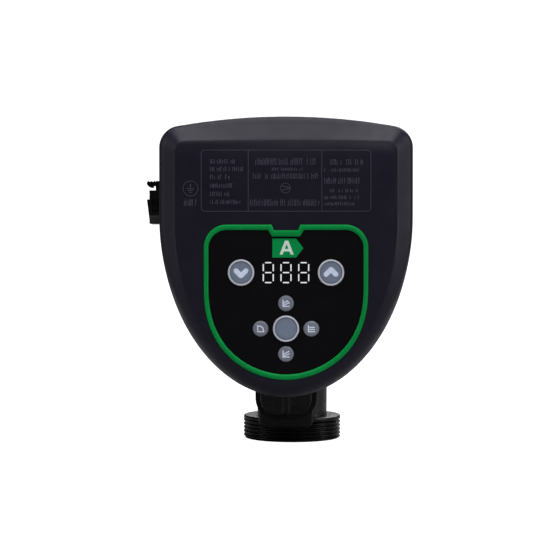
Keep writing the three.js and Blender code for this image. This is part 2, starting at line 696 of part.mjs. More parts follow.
const keyCap = () => turnedY([
  [0, KEY.front], [KEY.radius - 0.5, KEY.front], [KEY.radius, KEY.front + 0.5], [KEY.radius, FLANGE.front],
  [KEY.flange, FLANGE.front], [KEY.flange, FLANGE.back], [2.5, FLANGE.back],
  [2.5, SWITCH.plungerTop - 0.0625], [0, SWITCH.plungerTop - 0.0625],
]);

function tactileSwitch() {
  const body = box(-SWITCH.half, SWITCH.half, SWITCH.top, KEY_BOARD.front, -SWITCH.half, SWITCH.half);
  return body.subtract(discY(SWITCH.bore, SWITCH.top - 1.25, SWITCH.plungerFoot + KEY.travel + 0.25, SMALL));
}

const lampPipe = () => turnedY([
  [0, LAMP.front], [LAMP.radius, LAMP.front], [LAMP.radius, FLANGE.front],
  [LAMP.flange, FLANGE.front], [LAMP.flange, FLANGE.back],
  [LAMP.radius - 0.625, FLANGE.back], [LAMP.radius - 0.625, LAMP.foot], [0, LAMP.foot],
], SMALL);

function digitDisplay() {
  const { width, height, windowWidth, windowHeight, centreZ } = DISPLAY;
  const inWindow = 0.25;
  return union([
    box(
      -width / 2, width / 2, POCKET_FLOOR + 0.125, KEY_BOARD.front,
      centreZ - height / 2, centreZ + height / 2),
    box(
      -windowWidth / 2 + inWindow, windowWidth / 2 - inWindow, PANEL_FRONT + 0.0625, POCKET_FLOOR + 0.625,
      centreZ - windowHeight / 2 + inWindow, centreZ + windowHeight / 2 - inWindow),
  ]);
}

function keyBoard() {
  const { front, back, halfWidth, top, bottom, shoulder } = KEY_BOARD;
  const shape = new THREE.Shape()
    .moveTo(-halfWidth + 13.75, bottom)
    .lineTo(halfWidth - 13.75, bottom)
    .lineTo(halfWidth, shoulder)
    .lineTo(halfWidth, top)
    .lineTo(-halfWidth, top)
    .lineTo(-halfWidth, shoulder);
  const half = 2;
  const leds = Object.values(LAMPS).map(([x, z]) =>
    box(x - half, x + half, front - 1.25, front + 0.625, z - half, z + half));
  return union([slabY(shape, front, back), ...leds]);
}

function powerBoard() {
  const { front, back, halfWidth, top, bottom } = POWER_BOARD;
  const plate = box(-halfWidth, halfWidth, front, back, bottom, top);
  const chips = [
    box(-11.25, 11.25, front - 4, front + 0.625, -1.25, 21.25),
    box(25, 42.5, front - 11.25, front + 0.625, 63.75, 78.75),
    box(-42.5, -32.5, front - 5, front + 0.625, -3.75, 8.75),
  ];
  return union([plate, ...chips]);
}

const heatSpreader = () => box(-30, 30, -88.125, Y.motorFront - 0.125, -26.25, 21.25);
const bulkCapacitor = () => discY(11.25, -120, POWER_BOARD.front - 0.125);
const filterChoke = () => tubeY(5, 12.5, -105, POWER_BOARD.front - 0.125);

// ---------------------------------------------------------------- mains inlet

// A rectangular socket through the head's side, open to the left, with a step, a lip and ears for the latch.
function inletSocket() {
  const { top, bottom, front, back, mouth, inside, wall, depth, stepTip, stepTop } = INLET;
  const shroud = box(mouth, inside, front, back, bottom, top);
  const profile = new THREE.Shape()
    .moveTo(-71.25, bottom)
    .lineTo(mouth + 0.125, bottom)
    .lineTo(stepTip, stepTop)
    .lineTo(-71.25, stepTop);
  const ear = (y0, y1) => box(-71.625, -69.125, y0, y1, top - 1.25, LATCH.pinZ + 1.25);
  const [near, far] = [7.875, 10];
  const ears = [ear(LATCH.centreY - far, LATCH.centreY - near), ear(LATCH.centreY + near, LATCH.centreY + far)];
  const solid = union([shroud, slabY(profile, front + 1, back - 1), ...ears]);
  const pin = at(discY(LATCH.pinRadius + RUNNING_GAP, front, back, SMALL), LATCH.pinX, LATCH.pinZ);
  return cut(solid, [
    box(mouth - 6.25, mouth + depth, front + wall, back - wall, bottom + wall, top - wall),
    pin,
    ...[-1, 0, 1].map((i) => contactSlot(i, FIT_GAP)),
  ]);
}

const CONTACT = { pitch: 5.75, halfWidth: 1.75, halfHeight: 0.625, tip: -67.5, tail: -51.25 };

// The place of one contact blade; a slot is the same with a gap all round.
function contactSlot(i, gap = 0) {
  const centre = (INLET.front + INLET.back) / 2 + i * CONTACT.pitch;
  const z = (INLET.top + INLET.bottom) / 2;
  return box(
    CONTACT.tip - gap, CONTACT.tail + gap,
    centre - CONTACT.halfHeight - gap, centre + CONTACT.halfHeight + gap,
    z - CONTACT.halfWidth - gap, z + CONTACT.halfWidth + gap);
}

// The latch: a flat arm that swings up about its pin, with a hook at its free end.
function latchArm() {
  const { pinX, pinZ, thickness, halfLength, hook, centreY, tip } = LATCH;
  const half = thickness / 2;
  const profile = new THREE.Shape()
    .moveTo(tip, pinZ + half)
    .lineTo(tip, pinZ - half + 0.4)
    .lineTo(tip + 1.25, pinZ - half - hook)
    .lineTo(tip + 2.75, pinZ - half - hook)
    .lineTo(tip + 2.75, pinZ - half)
    .lineTo(pinX + 1.125, pinZ - half)
    .lineTo(pinX + 1.125, pinZ + half);
  const arm = slabY(profile, centreY - halfLength, centreY + halfLength);
  const hole = discY(LATCH.pinRadius + RUNNING_GAP, centreY - 12.5, centreY + 12.5, SMALL);
  return arm.subtract(at(hole, pinX, pinZ));
}

const latchPin = () =>
  at(discY(LATCH.pinRadius, LATCH.centreY - 9.875, LATCH.centreY + 9.875, SMALL), LATCH.pinX, LATCH.pinZ);

// ---------------------------------------------------------------- assembly

const pump = new THREE.Group();
const motorSide = new THREE.Group();
motorSide.position.x = MOTOR_X;
pump.add(motorSide);

function put(group, name, solid, material, x = 0, z = 0) {
  const mesh = new THREE.Mesh(geometryOf(solid), material);
  mesh.name = name;
  mesh.position.set(x, 0, z);
  group.add(mesh);
  return mesh;
}

put(pump, "pump_housing", pumpHousing(), MATERIAL.castIron);

const onAxis = (name, solid, material) => put(motorSide, name, solid, material);
const onShaft = (gap, outer, y0, y1) => tubeY(SHAFT.radius + gap, outer, y0, y1, ON_SHAFT);
onAxis("wear_ring", wearRing(), MATERIAL.stainless);
onAxis("housing_seal", housingSeal(), MATERIAL.rubber);
onAxis("bearing_plate", bearingPlate(), MATERIAL.stainless);
onAxis("front_bearing", onShaft(RUNNING_GAP, BEARING_RADIUS, -35, -25.625), MATERIAL.ceramic);
onAxis("rear_bearing", onShaft(RUNNING_GAP, BEARING_RADIUS, -76.375, -70.375), MATERIAL.ceramic);
onAxis("rotor_can", rotorCan(), MATERIAL.stainless);
onAxis("flange_gasket", flangeGasket(), MATERIAL.rubber);

onAxis("shaft", discY(SHAFT.radius, SHAFT.front, SHAFT.rear, ON_SHAFT), MATERIAL.ceramic);
onAxis("rotor_magnet", onShaft(PRESS_GAP, ROTOR.radius, ROTOR.y0, ROTOR.y1), MATERIAL.magnet);
onAxis("rotor_sleeve", rotorSleeve(), MATERIAL.stainless);
onAxis("thrust_disc", onShaft(PRESS_GAP, 11.25, -37.75, -35.25), MATERIAL.graphite);
onAxis("impeller", impeller(), MATERIAL.impeller);
onAxis("impeller_cover", impellerCover(), MATERIAL.impeller);

onAxis("stator_core", statorCore(), MATERIAL.steel);
for (let i = 0; i < STATOR.slots; i++) {
  onAxis(`coil_${i + 1}`, coil().rotate([0, (i * 360) / STATOR.slots, 0]), MATERIAL.copper);
}
onAxis("motor_housing", motorHousing(), MATERIAL.motorPaint);
screwPlaces.forEach(({ x, y: z }, i) => {
  put(motorSide, `motor_screw_${i + 1}`, capScrew().translate([0, Y.motorFlange, 0]), MATERIAL.steel, x, z);
});

onAxis("rear_case", rearCase(), MATERIAL.headPlastic);
onAxis("front_cover", frontCover(), MATERIAL.headPlastic);
onAxis("case_seal", caseSeal(), MATERIAL.rubber);
CASE_SCREWS.forEach(([x, z], i) => put(motorSide, `case_screw_${i + 1}`, caseScrew(), MATERIAL.steel, x, z));
onAxis("heat_spreader", heatSpreader(), MATERIAL.aluminium);
onAxis("power_board", powerBoard(), MATERIAL.board);
put(motorSide, "bulk_capacitor", bulkCapacitor(), MATERIAL.aluminium, -25, 63.75);
put(motorSide, "filter_choke", filterChoke(), MATERIAL.copper, 5, 63.75);
onAxis("key_board", keyBoard(), MATERIAL.board);
onAxis("digit_display", digitDisplay(), MATERIAL.panel);
onAxis("key_panel", keyPanel(), MATERIAL.panel);
onAxis("trim_ring", trimRing(), MATERIAL.green);
for (const [name, [x, z]] of Object.entries(KEYS)) {
  const key = name.replace("_button", "");
  const plunger = discY(SWITCH.plunger, SWITCH.plungerTop, SWITCH.plungerFoot, SMALL);
  put(motorSide, name, keyCap(), MATERIAL.key, x, z);
  put(motorSide, `${key}_switch`, tactileSwitch(), MATERIAL.blackPlastic, x, z);
  put(motorSide, `${key}_plunger`, plunger, MATERIAL.rubber, x, z);
}
for (const [name, [x, z]] of Object.entries(LAMPS)) put(motorSide, name, lampPipe(), MATERIAL.key, x, z);

onAxis("inlet_socket", inletSocket(), MATERIAL.blackPlastic);
["live", "earth", "neutral"].forEach((use, i) => {
  onAxis(`contact_${use}`, contactSlot(i - 1), MATERIAL.brass);
});
onAxis("latch_arm", latchArm(), MATERIAL.blackPlastic);
onAxis("latch_pin", latchPin(), MATERIAL.stainless);

// ---------------------------------------------------------------- origin

const pumpBox = new THREE.Box3().setFromObject(pump);
const middle = pumpBox.getCenter(new THREE.Vector3());
pump.position.set(-middle.x, -middle.y, -pumpBox.min.z);

const part = new THREE.Group();
part.add(pump);

export default part;
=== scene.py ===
"""The looks of a wet-rotor circulator pump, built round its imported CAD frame. Blender 4.5.

Shapes are written in a unit of 1.25 mm and turned into metres as each mesh is made. Lengths are counted
from a datum on the pipe's centre line, 7 units below its middle: pieces of the control head are drawn about
the motor's X and the datum's height, pieces of the motor about its axis, and the pump housing about the
middle of the pipe.
"""

import json
import math
import random

import bmesh
import bpy
import numpy as np
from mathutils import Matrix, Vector


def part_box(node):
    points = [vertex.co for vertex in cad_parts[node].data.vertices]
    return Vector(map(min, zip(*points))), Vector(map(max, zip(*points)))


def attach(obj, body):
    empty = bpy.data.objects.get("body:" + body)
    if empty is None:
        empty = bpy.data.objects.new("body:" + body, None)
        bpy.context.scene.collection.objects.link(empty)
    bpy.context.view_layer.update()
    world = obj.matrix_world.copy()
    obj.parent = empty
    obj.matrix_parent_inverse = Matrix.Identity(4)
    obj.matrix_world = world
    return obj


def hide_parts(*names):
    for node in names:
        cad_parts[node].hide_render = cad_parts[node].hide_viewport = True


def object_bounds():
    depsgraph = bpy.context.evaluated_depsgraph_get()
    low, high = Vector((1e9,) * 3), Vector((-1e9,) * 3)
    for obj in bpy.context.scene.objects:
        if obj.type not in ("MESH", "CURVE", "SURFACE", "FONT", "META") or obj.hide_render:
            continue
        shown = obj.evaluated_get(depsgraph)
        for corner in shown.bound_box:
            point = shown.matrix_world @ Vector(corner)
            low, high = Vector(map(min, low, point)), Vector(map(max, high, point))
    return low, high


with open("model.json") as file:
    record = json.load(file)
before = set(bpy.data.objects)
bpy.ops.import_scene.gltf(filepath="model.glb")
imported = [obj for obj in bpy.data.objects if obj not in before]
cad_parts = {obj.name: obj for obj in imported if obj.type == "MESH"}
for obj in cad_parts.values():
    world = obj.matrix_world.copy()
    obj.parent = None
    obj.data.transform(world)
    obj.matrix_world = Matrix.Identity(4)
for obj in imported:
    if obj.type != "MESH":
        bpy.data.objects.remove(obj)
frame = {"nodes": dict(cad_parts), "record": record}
cad_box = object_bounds()

UNIT = 0.00125
HALF_PI = math.pi / 2
TAU = 2 * math.pi
random.seed(7)


# -------- places, from the frame

# The height of the motor's axis, and of the middle of the pipe, above the datum.
AXIS_Z = 7


def pipe_middle():
    """The point halfway between the port faces, from the bores that the record keeps open."""
    boxes = {opening["name"]: opening["box_m"] for opening in frame["record"]["physics"]["openings"]}
    points = boxes["lower_port_bore"] + boxes["upper_port_bore"]
    return Vector([sum(point[i] for point in points) / len(points) for i in range(3)])


DATUM = pipe_middle() - Vector((0, 0, AXIS_Z * UNIT))


def corners(node):
    """A node's lowest and highest corners, in the script's units from the datum."""
    return tuple([(c - d) / UNIT for c, d in zip(corner, DATUM)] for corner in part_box(node))


def placed(x, y, z):
    """A point in the script's units, in metres in the frame."""
    return DATUM + Vector((x, y, z)) * UNIT


COVER_LOW, COVER_HIGH = corners("front_cover")
CASE_LOW, CASE_HIGH = corners("rear_case")
RING_LOW, RING_HIGH = corners("trim_ring")
PANEL_LOW, PANEL_HIGH = corners("key_panel")
DISPLAY_LOW, DISPLAY_HIGH = corners("digit_display")
MOTOR_LOW, MOTOR_HIGH = corners("motor_housing")
GASKET_LOW, GASKET_HIGH = corners("flange_gasket")
HOUSING_LOW = corners("pump_housing")[0]
INLET_LOW, INLET_HIGH = corners("inlet_socket")
ARM_LOW, ARM_HIGH = corners("latch_arm")

MOTOR_X = (COVER_LOW[0] + COVER_HIGH[0]) / 2
FRONT = COVER_LOW[1]
PARTING = COVER_HIGH[1]
CASE_FRONT = CASE_LOW[1]
CASE_BACK = CASE_HIGH[1]
POCKET_FLOOR = RING_HIGH[1]
PORT_FACE = AXIS_Z - HOUSING_LOW[2]

# Where a piece is drawn from, as (x, z): the head, the motor's axis, and the middle of the pipe.
AT_HEAD = (MOTOR_X, 0)
AT_AXIS = (MOTOR_X, AXIS_Z)
AT_PIPE = (0, AXIS_Z)


def centre(node):
    """A node's middle in the X-Z plane, about the motor's axis."""
    low, high = corners(node)
    return (low[0] + high[0]) / 2 - MOTOR_X, (low[2] + high[2]) / 2


# -------- outlines in the X-Z plane

# Each has a half width, a top, and a lower half that springs from a height down to a bottom as a
# superellipse.
HEAD = dict(half=(COVER_HIGH[0] - COVER_LOW[0]) / 2, top=COVER_HIGH[2], top_radius=264, corner=9.6,
            spring=39.32, bottom=COVER_LOW[2], power=1.965)
PLATEAU = dict(half=47.4, top=73.6, top_radius=4000, corner=4.8, spring=39.32, bottom=-30.5, power=1.97)
PANEL = dict(half=35.2, top=38.0, corner=9.92, spring=11.4, bottom=-28.68, power=1.92, fall=2.4, tall=1.18)
# The notch in the panel's top edge: its half widths above and below and its depth, and how each changes
# with an inset.
NOTCH = dict(top=5.92, bottom=5.12, depth=2.36, top_share=0.85, bottom_share=0.4, tall=1.38)


def polar(radius, angle, x=0.0, z=0.0):
    """The point at a radius and an angle about (x, z)."""
    return x + radius * math.cos(angle), z + radius * math.sin(angle)


def arc(x, z, radius, start, end, steps):
    return [polar(radius, a, x, z) for a in np.linspace(start, end, steps + 1)]


def lower_curve(half, spring, bottom, power, fall, steps):
    """The lower half of a superellipse, from its left end, with separate powers across and down (fall)."""
    points = []
    for a in np.linspace(math.pi, 0, steps + 1):
        c = math.cos(a)
        x = math.copysign(abs(c) ** (2 / power), c)
        points.append((half * x, spring - (spring - bottom) * abs(math.sin(a)) ** (2 / fall)))
    return points


def straight(a, b, steps):
    """Points strictly between two ends of a straight edge."""
    return [(a[0] + (b[0] - a[0]) * i / steps, a[1] + (b[1] - a[1]) * i / steps) for i in range(1, steps)]


def shield(shape, inset=0.0):
    """The head's outline, drawn in by inset. Its number of points is fixed, so that two outlines loft."""
    half = shape["half"] - inset
    corner = max(shape["corner"] - inset, 1)
    radius = shape["top_radius"] - inset
    z0 = shape["top"] - shape["top_radius"]
    x = half - corner
    z = z0 + math.sqrt((radius - corner) ** 2 - x ** 2)
    lean = math.atan2(z - z0, x)
    low = lower_curve(half, shape["spring"], shape["bottom"] + inset, shape["power"], shape["power"], 120)
    right = arc(x, z, corner, 0, lean, 14)
    top = arc(0, z0, radius, lean, math.pi - lean, 40)[1:-1]
    left = arc(-x, z, corner, math.pi - lean, math.pi, 14)
    return low + straight(low[-1], right[0], 12) + right + top + left + straight(left[-1], low[0], 12)


def panel_outline(inset=0.0):
    """The key panel's outline, with the notch in its top edge."""
    tall = inset * PANEL["tall"]
    half, top, corner = PANEL["half"] - inset, PANEL["top"] - tall, PANEL["corner"] - inset
    low = lower_curve(half, PANEL["spring"], PANEL["bottom"] + tall, PANEL["power"], PANEL["fall"], 96)
    right = arc(half - corner, top - corner, corner, 0, HALF_PI, 12)
    left = arc(corner - half, top - corner, corner, HALF_PI, math.pi, 12)
    a = NOTCH["top"] + inset * NOTCH["top_share"]
    b = NOTCH["bottom"] + inset * NOTCH["bottom_share"]
    z = PANEL["top"] - NOTCH["depth"] - inset * NOTCH["tall"]
    return (low + straight(low[-1], right[0], 8) + right + [(a, top), (b, z), (-b, z), (-a, top)] + left
            + straight(left[-1], low[0], 8))


def disc(x, z, radius, steps=48):
    return arc(x, z, radius, 0, TAU * (1 - 1 / steps), steps - 1)


def rounded_box(x0, x1, z0, z1, r, steps=6):
    corners_in_turn = ((x1 - r, z0 + r), (x1 - r, z1 - r), (x0 + r, z1 - r), (x0 + r, z0 + r))
    return [point for i, (x, z) in enumerate(corners_in_turn)
            for point in arc(x, z, r, (i - 1) * HALF_PI, i * HALF_PI, steps)]


# -------- meshes

def loft(sections, ring=False):
    """A skin through sections of equally many (x, y, z) points. A ring joins the last one to the first."""
    count = len(sections[0])
    verts = [p for s in sections for p in s]
    faces = []
    spans = len(sections) if ring else len(sections) - 1
    for s in range(spans):
        a, b = s * count, ((s + 1) % len(sections)) * count
        faces += [(a + i, a + (i + 1) % count, b + (i + 1) % count, b + i) for i in range(count)]
    if not ring:
        faces.append(tuple(reversed(range(count))))
        faces.append(tuple(range(len(verts) - count, len(verts))))
    return verts, faces


def level(points, y):
    """An outline's points as a section at one depth."""
    return [(x, y, z) for x, z in points]


def slab(points, y0, y1):
    """A plate of one outline between two depths."""
    return loft([level(points, y0), level(points, y1)])


def turned(profile, x=0.0, z=0.0, segments=64, axis="y"):
    """A solid of revolution from a profile of (radius, place on the axis), whose ends may lie on it."""
    verts, rows = [], []
    for r, d in profile:
        if r < 1e-6:
            rows.append([len(verts)])
            verts.append((x, d, z) if axis == "y" else (x, z, d))
            continue
        rows.append(list(range(len(verts), len(verts) + segments)))
        for i in range(segments):
            u, v = polar(r, TAU * i / segments, x, z)
            verts.append((u, d, v) if axis == "y" else (u, v, d))
    faces = []
    for a, b in zip(rows, rows[1:]):
        n = max(len(a), len(b))
        for i in range(n):
            j = (i + 1) % n
            face = [a[i % len(a)], a[j % len(a)], b[j % len(b)], b[i % len(b)]]
            kept = [v for k, v in enumerate(face) if v not in face[:k]]
            if len(kept) > 2:
                faces.append(tuple(kept))
    return verts, faces


def raised(depth, profile):
    """A profile whose depths are counted from one depth."""
    return [(r, depth + d) for r, d in profile]


def cylinder(radius, y0, y1, x=0.0, z=0.0, segments=96):
    """A round bar along Y between two depths."""
    return turned([(0, y0), (radius, y0), (radius, y1), (0, y1)], x, z, segments)


def block(x0, x1, y0, y1, z0, z1):
    """A box with its sides along the axes."""
    return loft([[(x0, y, z0), (x1, y, z0), (x1, y, z1), (x0, y, z1)] for y in (y0, y1)])


def rod(a, b, radius, segments=40):
    """A round bar with ball ends between two points."""
    a, b = Vector(a), Vector(b)
    along = (b - a).normalized()
    side = along.orthogonal().normalized()
    other = along.cross(side)
    rows = 10
    sections = []
    for end, sign in ((a, -1), (b, 1)):
        angles = np.linspace(0, HALF_PI, rows)
        angles = angles if sign > 0 else angles[::-1]
        for t in angles:
            r = max(radius * math.cos(t), radius * 0.02)
            middle = end + along * (sign * radius * math.sin(t))
            sections.append([tuple(middle + side * (r * math.cos(q)) + other * (r * math.sin(q)))
                             for q in np.linspace(0, TAU, segments, endpoint=False)])
    return loft(sections)


def joined(shapes):
    """Several shapes as one."""
    verts, faces = [], []
    for v, f in shapes:
        base = len(verts)
        verts += v
        faces += [tuple(i + base for i in face) for face in f]
    return verts, faces


def added(name, data):
    """A new object in the scene."""
    obj = bpy.data.objects.new(name, data)
    bpy.context.scene.collection.objects.link(obj)
    return obj


def made(name, shape, at=(0, 0), sharp=32):
    """An object from a shape drawn about a place, its faces outwards, smooth but for sharp edges."""
    verts, faces = shape
    mesh = bpy.data.meshes.new(name)
    mesh.from_pydata([placed(x + at[0], y, z + at[1]) for x, y, z in verts], [], faces)
    bm = bmesh.new()
    bm.from_mesh(mesh)
    bmesh.ops.recalc_face_normals(bm, faces=bm.faces)
    bm.to_mesh(mesh)
    bm.free()
    obj = added(name, mesh)
    shade(obj, sharp)
    return obj


def shade(obj, sharp=32):
    """Smooth shading, with sharp edges above an angle in degrees."""
    mesh = obj.data
    mesh.polygons.foreach_set("use_smooth", [True] * len(mesh.polygons))
    mesh.set_sharp_from_angle(angle=math.radians(sharp))
    mesh.update()


def bake(obj):
    """Applies every modifier on the object."""
    graph = bpy.context.evaluated_depsgraph_get()
    graph.update()
    mesh = bpy.data.meshes.new_from_object(obj.evaluated_get(graph), depsgraph=graph)
    old = obj.data
    obj.modifiers.clear()
    obj.data = mesh
    bpy.data.meshes.remove(old)


def combine(obj, shape, operation="DIFFERENCE", at=(0, 0), sharp=32):
    """Cuts a shape from an object, or adds it."""
    tool = made("tool", shape, at)
    modifier = obj.modifiers.new("combine", "BOOLEAN")
    modifier.operation = operation
    modifier.solver = "EXACT"
    modifier.object = tool
    bake(obj)
    bpy.data.objects.remove(tool)
    shade(obj, sharp)


def bevelled(obj, width, angle=30):
    """Rounds the edges that turn by more than an angle."""
    modifier = obj.modifiers.new("bevel", "BEVEL")
    modifier.width = width * UNIT
    modifier.segments = 2
    modifier.limit_method = "ANGLE"
    modifier.angle_limit = math.radians(angle)
    bake(obj)
    shade(obj)


def cast(obj, voxel, smoothing):
    """Fuses overlapping pieces into one skin with a casting's soft fillets."""
    remesh = obj.modifiers.new("fuse", "REMESH")
    remesh.mode = "VOXEL"
    remesh.voxel_size = voxel * UNIT
    soften = obj.modifiers.new("soften", "SMOOTH")
    soften.factor = 0.5
    soften.iterations = smoothing
    bake(obj)
    shade(obj, 60)


# -------- materials

ROUGHNESS_SPREAD = 0.08


def set_inputs(node, values):
    for name, value in values.items():
        node.inputs[name].default_value = value


def material(name, color, roughness, metal=0.0, vary=0.1, patch=40.0, grain=2500.0, depth=0.02,
             wear=0.0, worn=None, coat=0.0, glow=0.0, stretch=(1, 1, 1), spots=0.0, specular=0.5):
    """A procedural finish: patches of colour, fine grain in the bump, uneven roughness, and lighter convex
    edges, which are rubbed edges on most finishes and a painted highlight on the thread's crests.

    Patch and grain are the scales of the two noises. Depth is the height of the grain in the script's
    units, and spots is how strongly the grain's peaks show in the lighter colour.
    """
    m = bpy.data.materials.new(name)
    m.use_nodes = True
    tree = m.node_tree
    nodes, links = tree.nodes, tree.links
    shader = nodes["Principled BSDF"]
    set_inputs(shader, {"Metallic": metal, "Specular IOR Level": specular, "Coat Weight": coat,
                        "Coat Roughness": 0.15})
    coordinates = nodes.new("ShaderNodeTexCoord")
    mapping = nodes.new("ShaderNodeMapping")
    mapping.inputs["Scale"].default_value = stretch
    links.new(coordinates.outputs["Object"], mapping.inputs["Vector"])

    def noise(scale, detail=3.0, rough=0.55):
        n = nodes.new("ShaderNodeTexNoise")
        set_inputs(n, {"Scale": scale, "Detail": detail, "Roughness": rough})
        links.new(mapping.outputs["Vector"], n.inputs["Vector"])
        return n.outputs["Fac"]

    def ranged(value, low, high, out_low, out_high):
        n = nodes.new("ShaderNodeMapRange")
        set_inputs(n, {"From Min": low, "From Max": high, "To Min": out_low, "To Max": out_high})
        links.new(value, n.inputs["Value"])
        return n.outputs["Result"]

    def mixed(factor, a, b):
        n = nodes.new("ShaderNodeMix")
        n.data_type = "RGBA"
        links.new(factor, n.inputs["Factor"])
        for value, key in ((a, "A"), (b, "B")):
            socket = next(s for s in n.inputs if s.name == key and s.type == "RGBA")
            if hasattr(value, "links"):
                links.new(value, socket)
            else:
                socket.default_value = (*value[:3], 1)
        return next(s for s in n.outputs if s.type == "RGBA")

    darker = tuple(c * (1 - vary) for c in color)
    lighter = tuple(min(1, c * (1 + vary)) for c in color)
    tone = mixed(ranged(noise(patch), 0.3, 0.7, 0, 1), darker, lighter)
    fine = noise(grain, 2.0, 0.6)
    if spots:
        tone = mixed(ranged(fine, 0.62, 0.72, 0, spots), tone, lighter)
    # Lighter convex edges: rubbed on most finishes, and on the thread's crests a painted highlight for the
    # light they catch.
    if wear:
        geometry = nodes.new("ShaderNodeNewGeometry")
        edge = ranged(geometry.outputs["Pointiness"], 0.52, 0.62, 0, wear)
        wear_and_highlight_mask = nodes.new("ShaderNodeMath")
        wear_and_highlight_mask.operation = "MULTIPLY"
        links.new(edge, wear_and_highlight_mask.inputs[0])
        links.new(ranged(noise(patch * 8), 0.35, 0.65, 0.2, 1), wear_and_highlight_mask.inputs[1])
        tone = mixed(wear_and_highlight_mask.outputs["Value"], tone, worn)
    links.new(tone, shader.inputs["Base Color"])
    # The glow is a lamp's light for the lit digits, and a painted highlight on print, marks and key rims,
    # which are no lamps.
    if glow:
        links.new(tone, shader.inputs["Emission Color"])
        shader.inputs["Emission Strength"].default_value = glow
    uneven = ranged(noise(patch * 3), 0.3, 0.7, roughness - ROUGHNESS_SPREAD, roughness + ROUGHNESS_SPREAD)
    links.new(uneven, shader.inputs["Roughness"])
    bump = nodes.new("ShaderNodeBump")
    set_inputs(bump, {"Strength": 1.0, "Distance": depth * UNIT})
    links.new(fine, bump.inputs["Height"])
    links.new(bump.outputs["Normal"], shader.inputs["Normal"])
    return m


def srgb(r, g, b):
    """A colour from its 0-255 screen values, as linear light."""
    shares = [c / 255 for c in (r, g, b)]
    return tuple(c / 12.92 if c <= 0.04045 else ((c + 0.055) / 1.055) ** 2.4 for c in shares)


LOOKS = {}


def look(name, color, roughness, **finish):
    """Makes a finish and keeps it by its name."""
    LOOKS[name] = material(name, color, roughness, **finish)


look("head_plastic", srgb(37, 35, 50), 0.36, grain=2600, depth=0.03, vary=0.06, wear=0.2,
     worn=srgb(62, 60, 76), specular=0.2)
# The raised label is moulded in the head's plastic; its lighter colour is a painted highlight for the light
# its edges catch.
look("label_relief", srgb(88, 85, 104), 0.4, grain=3000, depth=0.01, specular=0.3)
look("panel_film", srgb(14, 12, 16), 0.5, grain=2200, depth=0.015, specular=0.12)
look("display_window", srgb(14, 14, 16), 0.3, grain=3000, depth=0.005, specular=0.2)
look("digit_light", (0.9, 0.93, 0.95), 0.5, glow=0.46, depth=0.002, vary=0.03)
look("trim_green", srgb(6, 174, 82), 0.4, grain=3000, depth=0.01, vary=0.08, specular=0.15)
look("class_green", srgb(8, 180, 94), 0.45, grain=3000, depth=0.005, vary=0.06, specular=0.12)
# White print that glows a little: a painted highlight, for print is no lamp.
look("print_white", srgb(222, 240, 230), 0.5, depth=0.004, vary=0.03, glow=0.22)
look("key_plastic", srgb(150, 164, 190), 0.34, grain=3200, depth=0.01, vary=0.05, coat=0.1)
# The rim's pale colour is its own; its glow is a painted highlight, for the rim is no lamp.
look("key_rim", srgb(232, 234, 246), 0.3, grain=3200, depth=0.005, vary=0.04, glow=0.06)
# The chevrons and signs are print; their glow is a painted highlight.
look("key_mark", srgb(236, 242, 255), 0.4, depth=0.004, vary=0.03, glow=0.14)
look("lamp_lens", srgb(150, 156, 174), 0.28, grain=1800, depth=0.01, vary=0.08, coat=0.3)
look("cast_iron", srgb(14, 14, 15), 0.34, metal=0.1, grain=1100, depth=0.14, vary=0.18,
     patch=60, wear=0.3, worn=srgb(44, 43, 42))
# Its lighter crests are partly rubbed metal and partly a painted highlight for the light they catch.
look("machined_thread", srgb(8, 8, 9), 0.3, metal=0.25, grain=1800, depth=0.03, vary=0.2,
     patch=90, wear=0.2, worn=srgb(40, 40, 40), specular=0.35)
look("motor_paint", srgb(9, 9, 10), 0.26, metal=0.1, grain=1500, depth=0.05, vary=0.12,
     wear=0.12, worn=srgb(50, 50, 52), specular=0.35)
# Black rubber; where the sheet stands out round the motor's tab, its black band is painted shade for the
# gap there.
look("gasket_rubber", srgb(5, 5, 6), 0.8, grain=2000, depth=0.03)
look("plunger_rubber", srgb(16, 16, 16), 0.7, grain=2000, depth=0.03)
look("inlet_plastic", srgb(7, 7, 8), 0.4, grain=2200, depth=0.03, vary=0.12, specular=0.25)
look("inlet_band", srgb(58, 58, 60), 0.36, grain=2200, vary=0.08, specular=0.3)
look("latch_plastic", srgb(5, 5, 6), 0.45, grain=2200, depth=0.03, vary=0.12, specular=0.15)
look("switch_plastic", srgb(18, 18, 18), 0.4)
look("stainless", (0.62, 0.63, 0.65), 0.26, metal=1, grain=900, depth=0.012, vary=0.05,
     stretch=(1, 12, 1))
look("black_steel", srgb(20, 20, 21), 0.35, metal=0.6, grain=1500)
look("magnet", srgb(58, 58, 63), 0.42, metal=0.4, grain=1400, depth=0.04)
look("bearing_ceramic", srgb(232, 228, 214), 0.22, vary=0.04, depth=0.004)
look("graphite", srgb(46, 47, 49), 0.55, metal=0.2)
look("impeller_plastic", srgb(208, 201, 184), 0.45, vary=0.07)
look("lamination", (0.42, 0.43, 0.45), 0.38, metal=0.9, grain=700, depth=0.05, stretch=(0.05, 3, 0.05))
look("winding", srgb(176, 92, 44), 0.28, metal=0.85, grain=900, depth=0.2, stretch=(1, 0.2, 1))
look("choke_core", srgb(170, 96, 46), 0.3, metal=0.7, grain=900, depth=0.2)
look("motor_screw_steel", srgb(120, 121, 126), 0.3, metal=1, grain=1500, vary=0.12)
look("case_screw_steel", srgb(128, 128, 130), 0.32, metal=1, grain=1500, vary=0.12)
look("heat_spreader", (0.6, 0.61, 0.63), 0.35, metal=1, stretch=(8, 1, 1))
look("capacitor_can", (0.55, 0.56, 0.6), 0.3, metal=1, depth=0.01)
look("circuit_board", srgb(18, 98, 62), 0.35, vary=0.15, spots=0.3)
look("contact_brass", srgb(196, 160, 84), 0.28, metal=1, depth=0.01)


